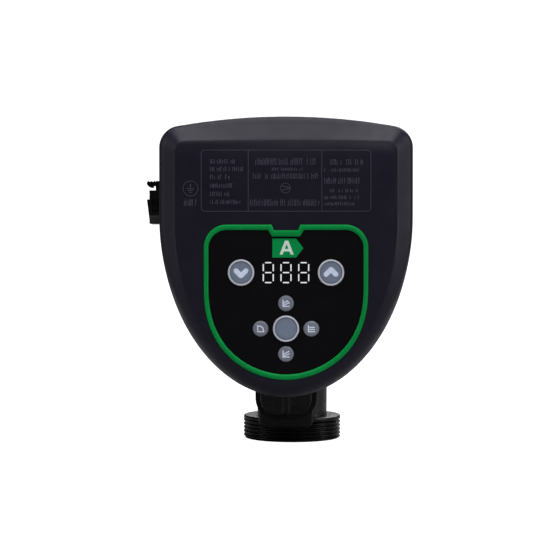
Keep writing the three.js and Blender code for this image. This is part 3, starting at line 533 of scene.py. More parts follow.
def dress(obj, looks, *nodes, body="pump", slot=None):
    """Dresses a piece, makes it ride on its body, and hides the CAD nodes it stands for."""
    names = [looks] if isinstance(looks, str) else looks
    indices = [p.material_index for p in obj.data.polygons]
    obj.data.materials.clear()
    for name in names:
        obj.data.materials.append(LOOKS[name])
    obj.data.polygons.foreach_set("material_index", indices)
    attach(obj, body)
    if nodes:
        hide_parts(*nodes)


def add_shape(obj, shape, index, at=(0, 0), sharp=32):
    """Joins a shape to an object as faces of its material number index."""
    extra = made("extra", shape, at, sharp)
    verts = [v.co.copy() for v in extra.data.vertices]
    faces = [tuple(p.vertices) for p in extra.data.polygons]
    bpy.data.objects.remove(extra)
    bm = bmesh.new()
    bm.from_mesh(obj.data)
    added = [bm.verts.new(v) for v in verts]
    for face in faces:
        made_face = bm.faces.new([added[i] for i in face])
        made_face.material_index = index
        made_face.smooth = True
    bm.to_mesh(obj.data)
    bm.free()
    obj.data.set_sharp_from_angle(angle=math.radians(sharp))


# -------- control head

WALL = 2.6
FRONT_WALL = 3.2
# How far the opening behind the key panel stands in, and the chamfer of the cover's back edge.
LEDGE = 4.6
EDGE = 0.35

STATIONS = 22
# The crisp bevel's section at the head's top: stations, and at each of them the fraction of the way in and
# the fraction of the depth.
CRISP_AT = [0, 0.36, 0.5, 0.58, 0.66, 0.72, 0.93, 0.97, 1]
CRISP_IN = [0, 0, 0.015, 0.06, 0.16, 0.27, 0.94, 0.985, 1.03]
CRISP_DEEP = [0, 0.40, 0.50, 0.57, 0.63, 0.67, 0.965, 0.99, 1]
# The heights between which the round bevel at the bottom turns into the crisp one.
BEVEL_BLEND = (-22, 44)


def bevel_point(t, crispness):
    """Station t of the bevel: the fraction in from the outline, and the fraction of the depth."""
    crisp_in = float(np.interp(t, CRISP_AT, CRISP_IN))
    crisp_deep = float(np.interp(t, CRISP_AT, CRISP_DEEP))
    round_in = (1 - math.cos(t * HALF_PI)) * 1.04
    round_deep = 0.12 + 0.88 * math.sin(t * HALF_PI) if t > 0 else 0.0
    inward = round_in + (crisp_in - round_in) * crispness
    return inward, round_deep + (crisp_deep - round_deep) * crispness


def smooth_step(value, low, high):
    """Goes from 0 at low to 1 at high, level at both ends."""
    t = min(1, max(0, (value - low) / (high - low)))
    return t * t * (3 - 2 * t)


def front_cover():
    """A shell with a bevel, crisp at the top and round at the bottom, and the panel's pocket."""
    outer, plateau = shield(HEAD), shield(PLATEAU)
    start = PARTING - EDGE
    sections = [
        level(shield(PLATEAU, 1), FRONT + FRONT_WALL),
        level(shield(HEAD, WALL + 0.5), PARTING - 9),
        level(shield(HEAD, WALL), PARTING),
        level(shield(HEAD, EDGE), PARTING),
        level(outer, start),
    ]
    for t in np.linspace(0, 1, STATIONS)[1:]:
        section = []
        for (x0, z0), (x1, z1) in zip(outer, plateau):
            inward, deep = bevel_point(t, smooth_step(z0, *BEVEL_BLEND))
            y = start + (FRONT - PARTING + EDGE) * deep
            section.append((x0 + (x1 - x0) * inward, y, z0 + (z1 - z0) * inward))
        sections.append(section)
    cover = made("front_cover_shell", loft(sections), AT_HEAD, 40)
    pocket = slab(panel_outline(), FRONT - 1, POCKET_FLOOR)
    opening = slab(panel_outline(LEDGE), POCKET_FLOOR - 1, FRONT + FRONT_WALL + 1)
    for shape in (pocket, opening):
        combine(cover, shape, at=AT_HEAD, sharp=40)
    dress(cover, "head_plastic", "front_cover")


# The rear case stands in from the head's outline, and its back edge is rounded.
CASE_INSET = 1.2
CASE_ROUND = dict(inward=2.6, deep=3)
NOSE_HOLE = 31.9
INLET_TOP = 53.0


def rear_case():
    """A shell with four screw posts, a hole for the motor's nose, and a window for the inlet."""
    front, back, half = CASE_FRONT, CASE_BACK, HEAD["half"]
    sections = [
        level(shield(HEAD, CASE_INSET + WALL), back - WALL),
        level(shield(HEAD, CASE_INSET + WALL), front),
        level(shield(HEAD, CASE_INSET + 0.3), front),
        level(shield(HEAD, CASE_INSET), front + 0.3),
        level(shield(HEAD, CASE_INSET), front + (back - front) * 0.4),
    ]
    for phi in np.linspace(0, HALF_PI, 9):
        inset = CASE_INSET + CASE_ROUND["inward"] * (1 - math.cos(phi))
        sections.append(level(shield(HEAD, inset), back - CASE_ROUND["deep"] * (1 - math.sin(phi))))
    case = made("rear_case_shell", loft(sections), AT_HEAD, 40)
    screws = [centre(f"case_screw_{i}") for i in range(1, 5)]
    for x, z in screws:
        combine(case, cylinder(4, front + 0.1, back - 1, x, z, 32), "UNION", AT_HEAD, 40)
    nose = [(0, back - 4), (NOSE_HOLE, back - 4), (NOSE_HOLE, back - 0.8), (NOSE_HOLE + 0.8, back + 1),
            (0, back + 1)]
    well = [(0, front - 1), (1.75, front - 1), (1.75, back - 3), (3.3, back - 3), (3.3, back - 0.4),
            (3.8, back + 0.5), (0, back + 0.5)]
    window = block(-half - 2, -half + 6, INLET_LOW[1] - 0.3, INLET_HIGH[1] + 0.3, INLET_LOW[2] - 0.3,
                   INLET_TOP + 0.3)
    cuts = [turned(nose, segments=96)] + [turned(well, x, z, 32) for x, z in screws] + [window]
    for shape in cuts:
        combine(case, shape, at=AT_HEAD, sharp=40)
    dress(case, "head_plastic", "rear_case")


def case_relief():
    """A low rim round the motor's nose, and ribs fanned above it."""
    y0, y1 = CASE_BACK - 0.3, CASE_BACK + 0.9
    inner, outer = 33.4, 36.2
    rim = turned([(inner, y0), (outer, y0), (outer, y1 - 0.3), (outer - 0.4, y1), (inner + 0.4, y1),
                  (inner, y1 - 0.3), (inner, y0)], segments=96)
    ribs = []
    for degrees in range(28, 153, 14):
        a = math.radians(degrees)
        far = 70 if 50 < degrees < 130 else 54
        near = Vector(polar(36.5, a))
        end = Vector(polar(far, a))
        end.x = max(-47, min(47, end.x))
        side = Vector((-math.sin(a), math.cos(a))) * 0.6
        quad = [near - side, end - side, end + side, near + side]
        ribs.append(slab(quad, y1, y0))
    relief = made("rear_case_ribs", joined([rim] + ribs), AT_HEAD)
    dress(relief, "head_plastic")


def trim_ring():
    """A band round the panel, its section given as (inset, depth)."""
    crown = raised(RING_LOW[1], [(0.15, 0.55), (0.25, 0.28), (0.5, 0.08), (0.85, 0), (1.4, 0),
                                       (1.75, 0.08), (2.03, 0.28), (2.15, 0.55)])
    profile = [(0.15, POCKET_FLOOR)] + crown + [(2.15, POCKET_FLOOR)]
    sections = [level(panel_outline(inset), y) for inset, y in profile]
    ring = made("trim_ring_band", loft(sections, ring=True), AT_HEAD)
    dress(ring, "trim_green", "trim_ring")


FILM_INSET = 2.3
KEY_HOLE = 5.75
LENS_HOLE = 3.47
SIDES = ("top", "right", "bottom", "left")


def key_panel():
    """The film inside the ring, with a hole for every key and lens."""
    front, back = PANEL_LOW[1], PANEL_HIGH[1]
    film = made("key_panel_film", slab(panel_outline(FILM_INSET), front, back), AT_HEAD)
    holes = [(*centre(n), KEY_HOLE) for n in ("down_button", "up_button", "mode_button")]
    holes += [(*centre(f"indicator_{side}"), LENS_HOLE) for side in SIDES]
    cutters = [slab(disc(x, z, r, 64), front - 1, back + 1) for x, z, r in holes]
    combine(film, joined(cutters), at=AT_HEAD)
    dress(film, "panel_film", "key_panel")


def stroke(points, width):
    """Rectangles along a line of (x, z) points, with round joints."""
    shapes = []
    for (x0, z0), (x1, z1) in zip(points, points[1:]):
        length = math.hypot(x1 - x0, z1 - z0)
        nx, nz = -(z1 - z0) / length * width / 2, (x1 - x0) / length * width / 2
        shapes.append([(x0 - nx, z0 - nz), (x1 - nx, z1 - nz), (x1 + nx, z1 + nz), (x0 + nx, z0 + nz)])
    shapes += [disc(x, z, width / 2, 12) for x, z in points]
    return shapes


def plates(outlines, y0, y1, x=0.0, z=0.0):
    """Thin plates of several outlines, moved to a place."""
    return joined([slab([(x + u, z + v) for u, v in points], y0, y1) for points in outlines])


# The numbers of a key's looks after its main one.
RIM, MARK = 1, 2
CHEVRON_WIDTH = 2.15
CHEVRON_LIFT = 0.25
CHEVRON = [(-2.1, 1.0), (0, -1.1), (2.1, 1.0)]


def button(node, body, turned_up=None):
    """A key cap with a dished face and a pale rim, and a chevron on the stepping keys; rim and chevron glow
    a little as painted highlights.
    """
    x, z = centre(node)
    (_, front, _), (_, back, _) = corners(node)
    face = front + 0.28
    profile = raised(face, [(0, 0.1), (2.5, 0.06), (4.35, 0), (4.5, 0.05), (4.54, 0.5), (4.78, 0.5)])
    profile += raised(front, [(4.82, 0.2), (4.95, 0.04), (5.15, 0), (5.4, 0.06), (5.55, 0.25),
                                    (5.6, 0.5), (5.6, 2.3), (6.3, 2.3), (6.3, 3.1), (2, 3.1)])
    profile += [(2, back), (0, back)]
    cap = made(f"{node}_cap", turned(profile, x, z, 72), AT_HEAD)
    for polygon in cap.data.polygons:
        middle = (polygon.center - DATUM) / UNIT
        reach = math.hypot(middle.x - MOTOR_X - x, middle.z - z)
        polygon.material_index = RIM if reach > 4.79 and middle.y < front + 0.4 else 0
    if turned_up is not None:
        sign = -1 if turned_up else 1
        lines = [(u, v * sign) for u, v in CHEVRON]
        lift = -CHEVRON_LIFT * sign
        shape = plates(stroke(lines, CHEVRON_WIDTH), face - 0.06, face + 0.15, x, z + lift)
        add_shape(cap, shape, MARK, AT_HEAD)
    dress(cap, ["key_plastic", "key_rim", "key_mark"], node, body=body)


def curve_icon(kind):
    """A pump-curve sign: two axes and a line or two."""
    axes = [[(-1.25, 1.3), (-1.25, -1.25), (1.35, -1.25)]]
    curves = {
        "top": [[(-1.2, -0.1), (0.5, 1.15), (1.3, 0.1)], [(-0.9, -0.75), (0.9, 0.15)]],
        "right": [[(-1.2, 0.6), (1.3, 0.6)], [(-1.2, -0.3), (1.3, -0.3)]],
        "bottom": [[(-1.1, -0.1), (1.25, 1.15)], [(-1.1, -0.95), (1.3, 0.1)]],
        "left": [[(-1.2, 1.2), (0.1, 1.05), (0.95, 0.35), (1.25, -1.1)]],
    }
    return [shape for line in axes + curves[kind] for shape in stroke(line, 0.52)]


def indicator(kind):
    """A low domed lens with a flange behind the film, and its sign, which glows a little as a painted
    highlight.
    """
    node = f"indicator_{kind}"
    x, z = centre(node)
    (_, front, _), (_, back, _) = corners(node)
    profile = raised(front, [(0, -0.02), (1.6, 0), (2.6, 0.04), (3.05, 0.12), (3.27, 0.3),
                                   (3.32, 0.5), (3.32, 1.85), (3.84, 1.85), (3.84, 2.65), (2.8, 2.65)])
    profile += [(2.8, back), (0, back)]
    lens = made(f"{node}_lens", turned(profile, x, z, 56), AT_HEAD)
    add_shape(lens, plates(curve_icon(kind), front - 0.07, front + 0.05, x, z), 1, AT_HEAD)
    dress(lens, ["lamp_lens", "key_mark"], node)


DIGIT = dict(height=9.0, width=4.75, pitch=7.55, bar=0.52, gap=0.42)


def digit_segments():
    """The seven bars of one digit, each with pointed ends."""
    h, w, bar, gap = DIGIT["height"] / 2, DIGIT["width"] / 2, DIGIT["bar"], DIGIT["gap"]
    x, z = w - bar / 2, h - bar / 2
    p = bar / 2

    def flat(v):
        a, b = -x + p + gap, x - p - gap
        return [(a, v), (a + p, v - p), (b - p, v - p), (b, v), (b - p, v + p), (a + p, v + p)]

    def upright(u, low, high):
        a, b = low + gap + 0.1, high - gap - 0.1
        return [(u, a), (u + p, a + p), (u + p, b - p), (u, b), (u - p, b - p), (u - p, a + p)]

    bars = [flat(v) for v in (-z, 0, z)]
    return bars + [upright(u, low, high) for low, high in ((-z, 0), (0, z)) for u in (-x, x)]


def digit_display():
    """The body behind the film, and three lit digits on the film's face."""
    film = PANEL_LOW[1]
    (x0, _, z0), (x1, back, z1) = DISPLAY_LOW, DISPLAY_HIGH
    body = made("digit_display_unit", block(x0, x1, POCKET_FLOOR + 0.15, back, z0, z1))
    bevelled(body, 0.3)
    x, z = centre("digit_display")
    bars = [plates(digit_segments(), film - 0.06, film + 0.1, x + DIGIT["pitch"] * i, z)
            for i in (-1, 0, 1)]
    add_shape(body, joined(bars), 1, AT_HEAD)
    dress(body, ["display_window", "digit_light"], "digit_display")


def class_arrow():
    """The printed arrow with its class letter, whose white print glows a little as a painted highlight."""
    film = PANEL_LOW[1]
    outline = [(-5.8, 23.75), (4.3, 23.75), (7.4, 27.7), (4.3, 31.8), (-5.8, 31.8)]
    arrow = made("class_arrow", slab(outline, film - 0.05, film + 0.1), AT_HEAD)
    foot, left, right = 25.0, -2.75, 3.3
    middle, top = (left + right) / 2, 30.95
    letter = [
        [(left, foot), (left + 1.3, foot), (middle, top - 1.5), (middle, top), (middle - 0.7, top)],
        [(right, foot), (right - 1.3, foot), (middle, top - 1.5), (middle, top), (middle + 0.7, top)],
        [(middle - 1.35, foot + 1.35), (middle + 1.35, foot + 1.35), (middle + 1.0, foot + 2.45),
         (middle - 1.0, foot + 2.45)],
    ]
    add_shape(arrow, plates(letter, film - 0.08, film), 1, AT_HEAD)
    dress(arrow, ["class_green", "print_white"], slot="panel_film")


def word_ticks(x0, x1, z, height):
    """Fine ticks with short bars between them: the texture of small type, not letters."""
    shapes = []
    x = x0
    foot = z - height / 2
    while x < x1 - 0.4:
        if random.random() < 0.14:
            x += 0.75
            continue
        top = foot + height * random.choice((1, 1, 0.75))
        shapes.append([(x, foot), (x + 0.3, foot), (x + 0.3, top), (x, top)])
        if random.random() < 0.6:
            bar = z + height * random.choice((-0.42, 0.0, 0.3))
            shapes.append([(x + 0.3, bar), (x + 0.62, bar), (x + 0.62, bar + 0.28), (x + 0.3, bar + 0.28)])
        x += random.choice((0.62, 0.78, 0.92))
    return shapes


LABEL = dict(left=-36.2, right=36.2, bottom=43.3, top=69.5, dividers=(-16.2, 15.1), line=0.26)
# Rows of the rating label: left end, right end, height of the row's middle, and height of its type.
LABEL_ROWS = [
    (-32.3, -21.5, 64.6, 1.9), (-32.3, -17.9, 61.4, 1.9), (-32.3, -23.0, 58.0, 1.9),
    (-32.3, -22.1, 54.4, 1.9), (-32.3, -24.0, 50.8, 1.9), (-32.3, -19.2, 47.4, 1.9),
    (-13.0, 13.2, 64.6, 2.9), (-6.0, 7.2, 61.3, 1.3), (-14.0, 14.0, 58.4, 2.4), (-15.3, 14.4, 47.1, 2.8),
    (18.7, 32.8, 64.4, 2.4), (16.3, 31.1, 60.9, 1.4), (16.3, 31.5, 56.4, 2.6), (18.7, 31.1, 52.2, 1.4),
    (16.3, 31.1, 49.3, 1.5), (16.3, 30.0, 46.6, 1.5),
    (-43.4, -37.9, 47.1, 2.8),
]
# The middle and the radius of each sign.
PUMP_SIGN = (-0.2, 53.3, 2.1)
EARTH_SIGN = (-40.6, 53.1, 3.3)
SIGN_LINE = 0.36


def rating_label():
    """The moulded rating panel: a frame with two dividers, rows of unreadable ticks, and two signs,
    coloured lighter than the head as a painted highlight on their raised edges.
    """
    y0, y1 = FRONT - 0.11, FRONT + 0.1
    w = LABEL["line"]
    left, right, bottom, top = LABEL["left"], LABEL["right"], LABEL["bottom"], LABEL["top"]
    outer = rounded_box(left, right, bottom, top, 1.6)
    inner = rounded_box(left + w, right - w, bottom + w, top - w, 1.6 - w)
    border = loft([level(outer, y1), level(outer, y0), level(inner, y0), level(inner, y1)], ring=True)
    lines = [[(x, bottom + w), (x + w, bottom + w), (x + w, top - w), (x, top - w)]
             for x in LABEL["dividers"]]
    rows = [shape for row in LABEL_ROWS for shape in word_ticks(*row)]
    ex, ez = EARTH_SIGN[:2]
    stem = [[(ex, ez + 1.9), (ex, ez - 0.1)]]
    feet = [[(ex - half, ez - drop), (ex + half, ez - drop)]
            for half, drop in ((1.6, 0.1), (1.05, 0.9), (0.5, 1.7))]
    earth = [shape for line in stem + feet for shape in stroke(line, SIGN_LINE)]
    sx, sz, radius = PUMP_SIGN
    triangle = [polar(radius, a, sx, sz) for a in np.radians((150, 0, 210))]
    sign = stroke(triangle, SIGN_LINE)
    circles = []
    for x, z, r in (EARTH_SIGN, (sx, sz, radius + w / 2)):
        section = ((r, y1), (r, y0), (r - w, y0), (r - w, y1))
        circles.append(loft([level(disc(x, z, rim), y) for rim, y in section], ring=True))
    shapes = joined([border, *circles, plates(lines + rows + earth + sign, y0, y1)])
    label = made("rating_label", shapes, AT_HEAD)
    dress(label, "label_relief", slot="head_plastic")


# -------- mains inlet

INLET_WALL = 1.8
EAR_TOP = 57.4
PIN_HOLE = 0.66
ARM_HALF = 0.75
CONTACT_GAP = 0.15
# The inlet's lower, greyer band reaches up to here, where a fine groove divides the front face.
BAND_TOP = 42.2

PIN_LOW, PIN_HIGH = corners("latch_pin")
PIN_X = (PIN_LOW[0] + PIN_HIGH[0]) / 2
PIN_Z = (PIN_LOW[2] + PIN_HIGH[2]) / 2


def front_recesses(tip, inside, y0):
    """Cutters for the inlet's front: a field with two slots and a bar, and the groove."""
    left, right = MOTOR_X - 58.7, MOTOR_X - 50
    slots = [MOTOR_X - 57.9, MOTOR_X - 56.3]
    return [
        block(left, right, y0 - 1, y0 + 0.5, 43.6, 51.0),
        *[block(x - 0.45, x + 0.45, y0 - 1, y0 + 1.3, 45.4, 49.6) for x in slots],
        block(left, right, y0 - 1, y0 + 1.3, 43.6, 44.9),
        block(tip - 1, inside + 1, y0 - 1, y0 + 0.3, BAND_TOP, BAND_TOP + 0.25),
    ]


def inlet_socket():
    """The hollow inlet: a stepped lip, two ears for the latch's pin, and ribs on its top."""
    (tip, y0, bottom), (_, y1, _) = INLET_LOW, INLET_HIGH
    middle = (y0 + y1) / 2
    mouth, inside, top = tip + 1.2, MOTOR_X - 44.0, INLET_TOP
    shroud = made("inlet_socket_shroud", block(mouth, inside, y0, y1, bottom, top))
    lip = [(MOTOR_X - 57, bottom), (mouth + 0.1, bottom), (tip, 49.3), (MOTOR_X - 57, 49.3)]
    combine(shroud, slab(lip, y0 + 0.8, y1 - 0.8), "UNION")
    for a, b in ((-8, -6.3), (6.3, 8)):
        ear = block(MOTOR_X - 57.3, MOTOR_X - 55.3, middle + a, middle + b, top - 1, EAR_TOP)
        combine(shroud, ear, "UNION")
    combine(shroud, block(tip - 3, MOTOR_X - 48.7, y0 + INLET_WALL, y1 - INLET_WALL,
                          bottom + INLET_WALL, top - INLET_WALL))
    for node in ("contact_live", "contact_earth", "contact_neutral"):
        spans = [(a - CONTACT_GAP, b + CONTACT_GAP) for a, b in zip(*corners(node))]
        combine(shroud, block(*spans[0], *spans[1], *spans[2]))
    for shape in front_recesses(tip, inside, y0):
        combine(shroud, shape)
    bevelled(shroud, 0.3, 40)
    combine(shroud, cylinder(PIN_HOLE, PIN_LOW[1] - 2, PIN_HIGH[1] + 2, PIN_X, PIN_Z, 24))
    for i in range(5):
        y = y0 + 3 + i * (y1 - y0 - 6) / 4
        rib = block(mouth - 0.25, mouth + 3.5, y - 0.4, y + 0.4, top - 0.2, top + 0.35)
        add_shape(shroud, rib, 0)
    for polygon in shroud.data.polygons:
        z = ((polygon.center - DATUM) / UNIT).z
        polygon.material_index = 1 if z < BAND_TOP else 0
    dress(shroud, ["inlet_plastic", "inlet_band"], "inlet_socket")


def latch():
    """The plug's lever: a hook at its tip, a hole for the pin, and teeth on its back."""
    tip, low = ARM_LOW[0], ARM_LOW[2]
    under, over = PIN_Z - ARM_HALF, PIN_Z + ARM_HALF
    outline = [(tip + 0.3, over), (tip, over - 0.35), (tip, under + 0.3), (tip + 0.9, low + 0.1),
               (tip + 1.1, low), (tip + 2.1, low), (tip + 2.2, low + 0.15), (tip + 2.2, under),
               (PIN_X + 0.5, under), (PIN_X + 0.9, under + 0.4), (PIN_X + 0.9, over - 0.4),
               (PIN_X + 0.5, over)]
    arm = made("latch_arm_lever", slab(outline, ARM_LOW[1], ARM_HIGH[1]))
    combine(arm, cylinder(PIN_HOLE, ARM_LOW[1] - 2, ARM_HIGH[1] + 2, PIN_X, PIN_Z, 24))
    bevelled(arm, 0.14, 40)
    for i in range(4):
        x = tip + 0.55 + 1.36 * i
        tooth = [(x - 0.42, over - 0.1), (x + 0.42, over - 0.1), (x + 0.2, over + 0.32),
                 (x - 0.2, over + 0.32)]
        add_shape(arm, slab(tooth, ARM_LOW[1] + 0.5, ARM_HIGH[1] - 0.5), 0)
    dress(arm, "latch_plastic", "latch_arm", body="latch")


# -------- motor

SCREW_ANGLES = (45, 135, 225, 315)
SCREW_CIRCLE = 38
screw_places = [polar(SCREW_CIRCLE, math.radians(a)) for a in SCREW_ANGLES]


def tab(half, bottom, corner):
    """The outline of a tab that hangs from the motor's axis, with two rounded corners below."""
    left = arc(corner - half, bottom + corner, corner, math.pi, 3 * HALF_PI, 12)
    right = arc(half - corner, bottom + corner, corner, 3 * HALF_PI, TAU, 12)
    return [(-half, 0)] + left + right + [(half, 0)]


def pot_outline(radius, ribs, height, half_degrees):
    """The pot's outline: a round body with ribs, left out where the screw heads need room."""
    points = []
    half = math.radians(half_degrees)
    for i in range(ribs):
        a = TAU * i / ribs
        clear = all(abs(math.sin((a - math.radians(s)) / 2)) > 0.16 for s in SCREW_ANGLES)
        crest = radius + height if clear else radius
        points += [(radius, a - half * 2), (crest, a - half), (crest, a), (crest, a + half)]
        points.append((radius, a + half * 2))
        gap = TAU / ribs - half * 4
        points += [(radius, a + half * 2 + gap * k / 4) for k in (1, 2, 3)]
    return [polar(r, a) for r, a in points]


FLANGE_RADIUS = 34


def motor_housing():
    """A flange with its tab and screw bosses, a ribbed body, a nose, and a spigot behind."""
    gasket, flange, step, nose = GASKET_LOW[1], -33.0, -60.0, MOTOR_LOW[1]
    bottom = MOTOR_LOW[2] - AXIS_Z
    nose_profile = [(0, nose), (30.9, nose), (31.5, nose + 0.6), (31.5, step + 0.5), (0, step + 0.5)]
    shapes = [
        cylinder(FLANGE_RADIUS, flange, gasket),
        slab(tab(12, bottom, 8.5), -37, gasket),
        block(-1.4, 1.4, -38.1, -36, bottom + 1.2, -30),
        slab(pot_outline(33.3, 18, 1.5, 2.2), step, flange),
        turned(nose_profile, segments=96),
        cylinder(28, gasket - 1, MOTOR_HIGH[1]),
    ]
    shapes += [cylinder(5, flange, gasket, x, z, 40) for x, z in screw_places]
    pot = made("motor_pot", joined(shapes), AT_AXIS)
    cast(pot, 0.42, 3)
    heads = [cylinder(4.55, -50, flange, x, z, 32) for x, z in screw_places]
    combine(pot, joined(heads), at=AT_AXIS, sharp=50)
    dress(pot, "motor_paint", "motor_housing")


def flange_gasket():
    """A flat black sheet that stands out a little all round the flange; round the motor's tab its black
    band is painted shade, standing in for the shadowed gap there.
    """
    y0, y1 = GASKET_LOW[1] + 0.02, GASKET_HIGH[1] - 0.02
    plate = made("flange_gasket_sheet", cylinder(FLANGE_RADIUS + 0.7, y0, y1), AT_AXIS)
    # This band round the tab is painted shade: a black sheet where the gap between tab and housing lies in
    # shadow.
    combine(plate, slab(tab(14.6, GASKET_LOW[2] - AXIS_Z, 10.5), y0, y1), "UNION", AT_AXIS)
    for x, z in screw_places:
        combine(plate, cylinder(5.6, y0, y1, x, z, 40), "UNION", AT_AXIS)
    dress(plate, "gasket_rubber", "flange_gasket")


def motor_screw(i):
    """A socket head cap screw with a knurled head."""
    node = f"motor_screw_{i}"
    x, z = centre(node)
    (_, top, _), (_, end, _) = corners(node)
    under = top + 4.8
    steps = 96
    knurl = 0.09
    rows = []
    for r, y in ((3.9, top), (4.25, top + 0.35), (4.25, under), (2.5, under), (2.5, end - 0.5), (2.1, end)):
        dent = knurl if r == 4.25 else 0
        rows.append(level([polar(r - dent * (k % 2), TAU * k / steps, x, z) for k in range(steps)], y))
    screw = made(f"{node}_cap_screw", loft(rows), AT_HEAD)
    combine(screw, slab(disc(x, z, 2.3, 6), top - 1, top + 2.5), at=AT_HEAD)
    dress(screw, "motor_screw_steel", node)


def case_screw(i):
    """A pan head screw with a cross recess."""
    node = f"case_screw_{i}"
    x, z = centre(node)
    (_, end, _), (_, top, _) = corners(node)
    profile = raised(top, [(0, 0), (2.3, 0), (2.8, -0.3), (3, -0.8), (3, -2.4), (1.5, -2.4)])
    profile += [(1.5, end + 0.6), (0, end)]
    screw = made(f"{node}_pan_head", turned(profile, x, z, 40), AT_HEAD)
    for across, up in ((2, 0.4), (0.4, 2)):
        slot = block(x - across, x + across, top - 1.3, top + 1, z - up, z + up)
        combine(screw, slot, at=AT_HEAD)
    dress(screw, "case_screw_steel", node)


# -------- pump housing

# The port's collar: a flat shoulder with a rounded edge, a plain band, and a pipe thread with broad crests.
COLLAR = dict(crest=23.84, root=22.75, pitch=1.847, height=11.28, plain=1.5, edge=0.8, face_radius=23.2,
              bore=12.8)


def thread_ring(sign):
    """One port's threaded collar, from the inside of the neck round to the bore."""
    steps, per_pitch = 120, 12
    crest, root, edge = COLLAR["crest"], COLLAR["root"], COLLAR["edge"]
    shoulder = PORT_FACE - COLLAR["height"]
    start, end = shoulder + COLLAR["plain"], PORT_FACE - 0.5
    profile = [(17.0, shoulder - 1), (17.2, shoulder), (crest - edge, shoulder)]
    profile += [(crest - edge * (1 - math.sin(t)), shoulder + edge * (1 - math.cos(t)))
                for t in np.linspace(0, HALF_PI, 6)[1:]]
    rows = [[place] * steps for place in profile]
    count = int((end - start) / COLLAR["pitch"] * per_pitch)
    for z in np.linspace(start, end, count + 1):
        row = []
        for i in range(steps):
            phase = ((z - start) / COLLAR["pitch"] - i / steps) % 1
            groove = smooth_step(0.36 - abs(phase - 0.5), 0, 0.27) * smooth_step(z, start, start + 0.8)
            chamfer = COLLAR["face_radius"] + (PORT_FACE - z) * 0.9
            row.append((min(crest - (crest - root) * groove, chamfer), z))
        rows.append(row)
    face, bore = PORT_FACE, COLLAR["bore"]
    profile = [(23.15, face - 0.1), (22.9, face), (bore + 0.8, face), (bore, face - 0.8), (bore, face - 20),
               (15.0, face - 20)]
    rows += [[place] * steps for place in profile]
    sections = [[(*polar(r, TAU * i / steps), sign * z) for i, (r, z) in enumerate(row)] for row in rows]
    return loft(sections, ring=True)


# The volute's outline: the angle it starts from and turns through in degrees, and its radius and growth.
SCROLL = dict(start=50, turn=310, radius=30, growth=5.5, steps=90)


def scroll():
    """The volute's outline, a spiral round the motor's axis."""
    points = []
    for i in range(SCROLL["steps"] + 1):
        t = i / SCROLL["steps"]
        a = math.radians(SCROLL["start"] + SCROLL["turn"] * t)
        r = SCROLL["radius"] + SCROLL["growth"] * t
        points.append(polar(r, a, MOTOR_X))
    return points


# The depth of the housing's front flange, and the inner ends of the two passages that lead to the ports.
FLANGE_DEPTH = 11
LOWER_PASSAGE = (MOTOR_X, 11.5, -4)
UPPER_PASSAGE = (MOTOR_X + 19, -13, 4)


def pump_housing():
    """Necks, volute, flange and passages, fused and hollowed, with a thread on each port."""
    front, back = HOUSING_LOW[1] + 0.2, HOUSING_LOW[1] + FLANGE_DEPTH
    shoulder = PORT_FACE - COLLAR["height"]
    neck = [(0, 20), (17.8, 20), (17.6, 38), (17.25, 44), (17.1, shoulder), (17.6, shoulder + 0.8),
            (17.6, shoulder + 3), (0, shoulder + 3)]
    shapes = [turned([(r, s * z) for r, z in neck], segments=80, axis="z") for s in (1, -1)]
    shapes.append(slab(scroll(), front, -3))
    shapes.append(cylinder(FLANGE_RADIUS, front, back, MOTOR_X))
    shapes.append(slab([(x + MOTOR_X, z) for x, z in tab(13.1, -65.2, 4)], front, back))
    shapes += [cylinder(5, front, back, x + MOTOR_X, z, 40) for x, z in screw_places]
    dome = [(0, -9), (25, -9), (24.5, -3), (22, 1.5), (18.8, 4), (18.2, 8), (18, 20.5), (17.2, 23.4),
            (15.3, 25.3), (12.5, 26), (0, 26)]
    shapes.append(turned(dome, MOTOR_X, 0, 80))
    shapes.append(rod((0, 3, -44), LOWER_PASSAGE, 14.5))
    shapes.append(rod(UPPER_PASSAGE, (1, -3, 44), 12.5))
    body = made("pump_casting", joined(shapes), AT_PIPE)
    cast(body, 0.55, 6)
    bore = COLLAR["bore"]
    for s in (1, -1):
        water = turned([(0, s * 38), (bore, s * 38), (bore, s * 80), (0, s * 80)], segments=64, axis="z")
        combine(body, water, at=AT_PIPE, sharp=60)
    combine(body, rod((0, 2, -40), LOWER_PASSAGE, 10.4), at=AT_PIPE, sharp=60)
    combine(body, rod(UPPER_PASSAGE, (1, -3, 40), 8), at=AT_PIPE, sharp=60)
    add_shape(body, joined([thread_ring(1), thread_ring(-1)]), 1, AT_PIPE, sharp=50)
    dress(body, ["cast_iron", "machined_thread"], "pump_housing")


# -------- the object

front_cover()
rear_case()
case_relief()
trim_ring()
key_panel()
button("down_button", "down_key", False)
button("up_button", "up_key", True)
button("mode_button", "mode_key")
for side in SIDES:
    indicator(side)
digit_display()
class_arrow()
rating_label()
inlet_socket()
latch()
motor_housing()
flange_gasket()
for number in range(1, 5):
    motor_screw(number)
    case_screw(number)
pump_housing()

slots = {s["node"]: s["material_slot"] for s in frame["record"]["subparts"]}
for node, obj in frame["nodes"].items():
    obj.data.materials.clear()
    obj.data.materials.append(LOOKS["black_steel" if node == "latch_pin" else slots[node]])


# -------- studio

# The backdrop's sheet, in metres.
SHEET = dict(near=-2.0, far=1.8, bend=0.75, half=3.75, top=3.75, below=0.0002)
SHEET_COLOR = (0.34, 0.34, 0.34)
# What the camera sees of the sheet and of the world behind it, and how much light the world gives.
SHEET_GLOW = 1.1
WORLD_SEEN = 1.0
WORLD_LIGHT = 0.04


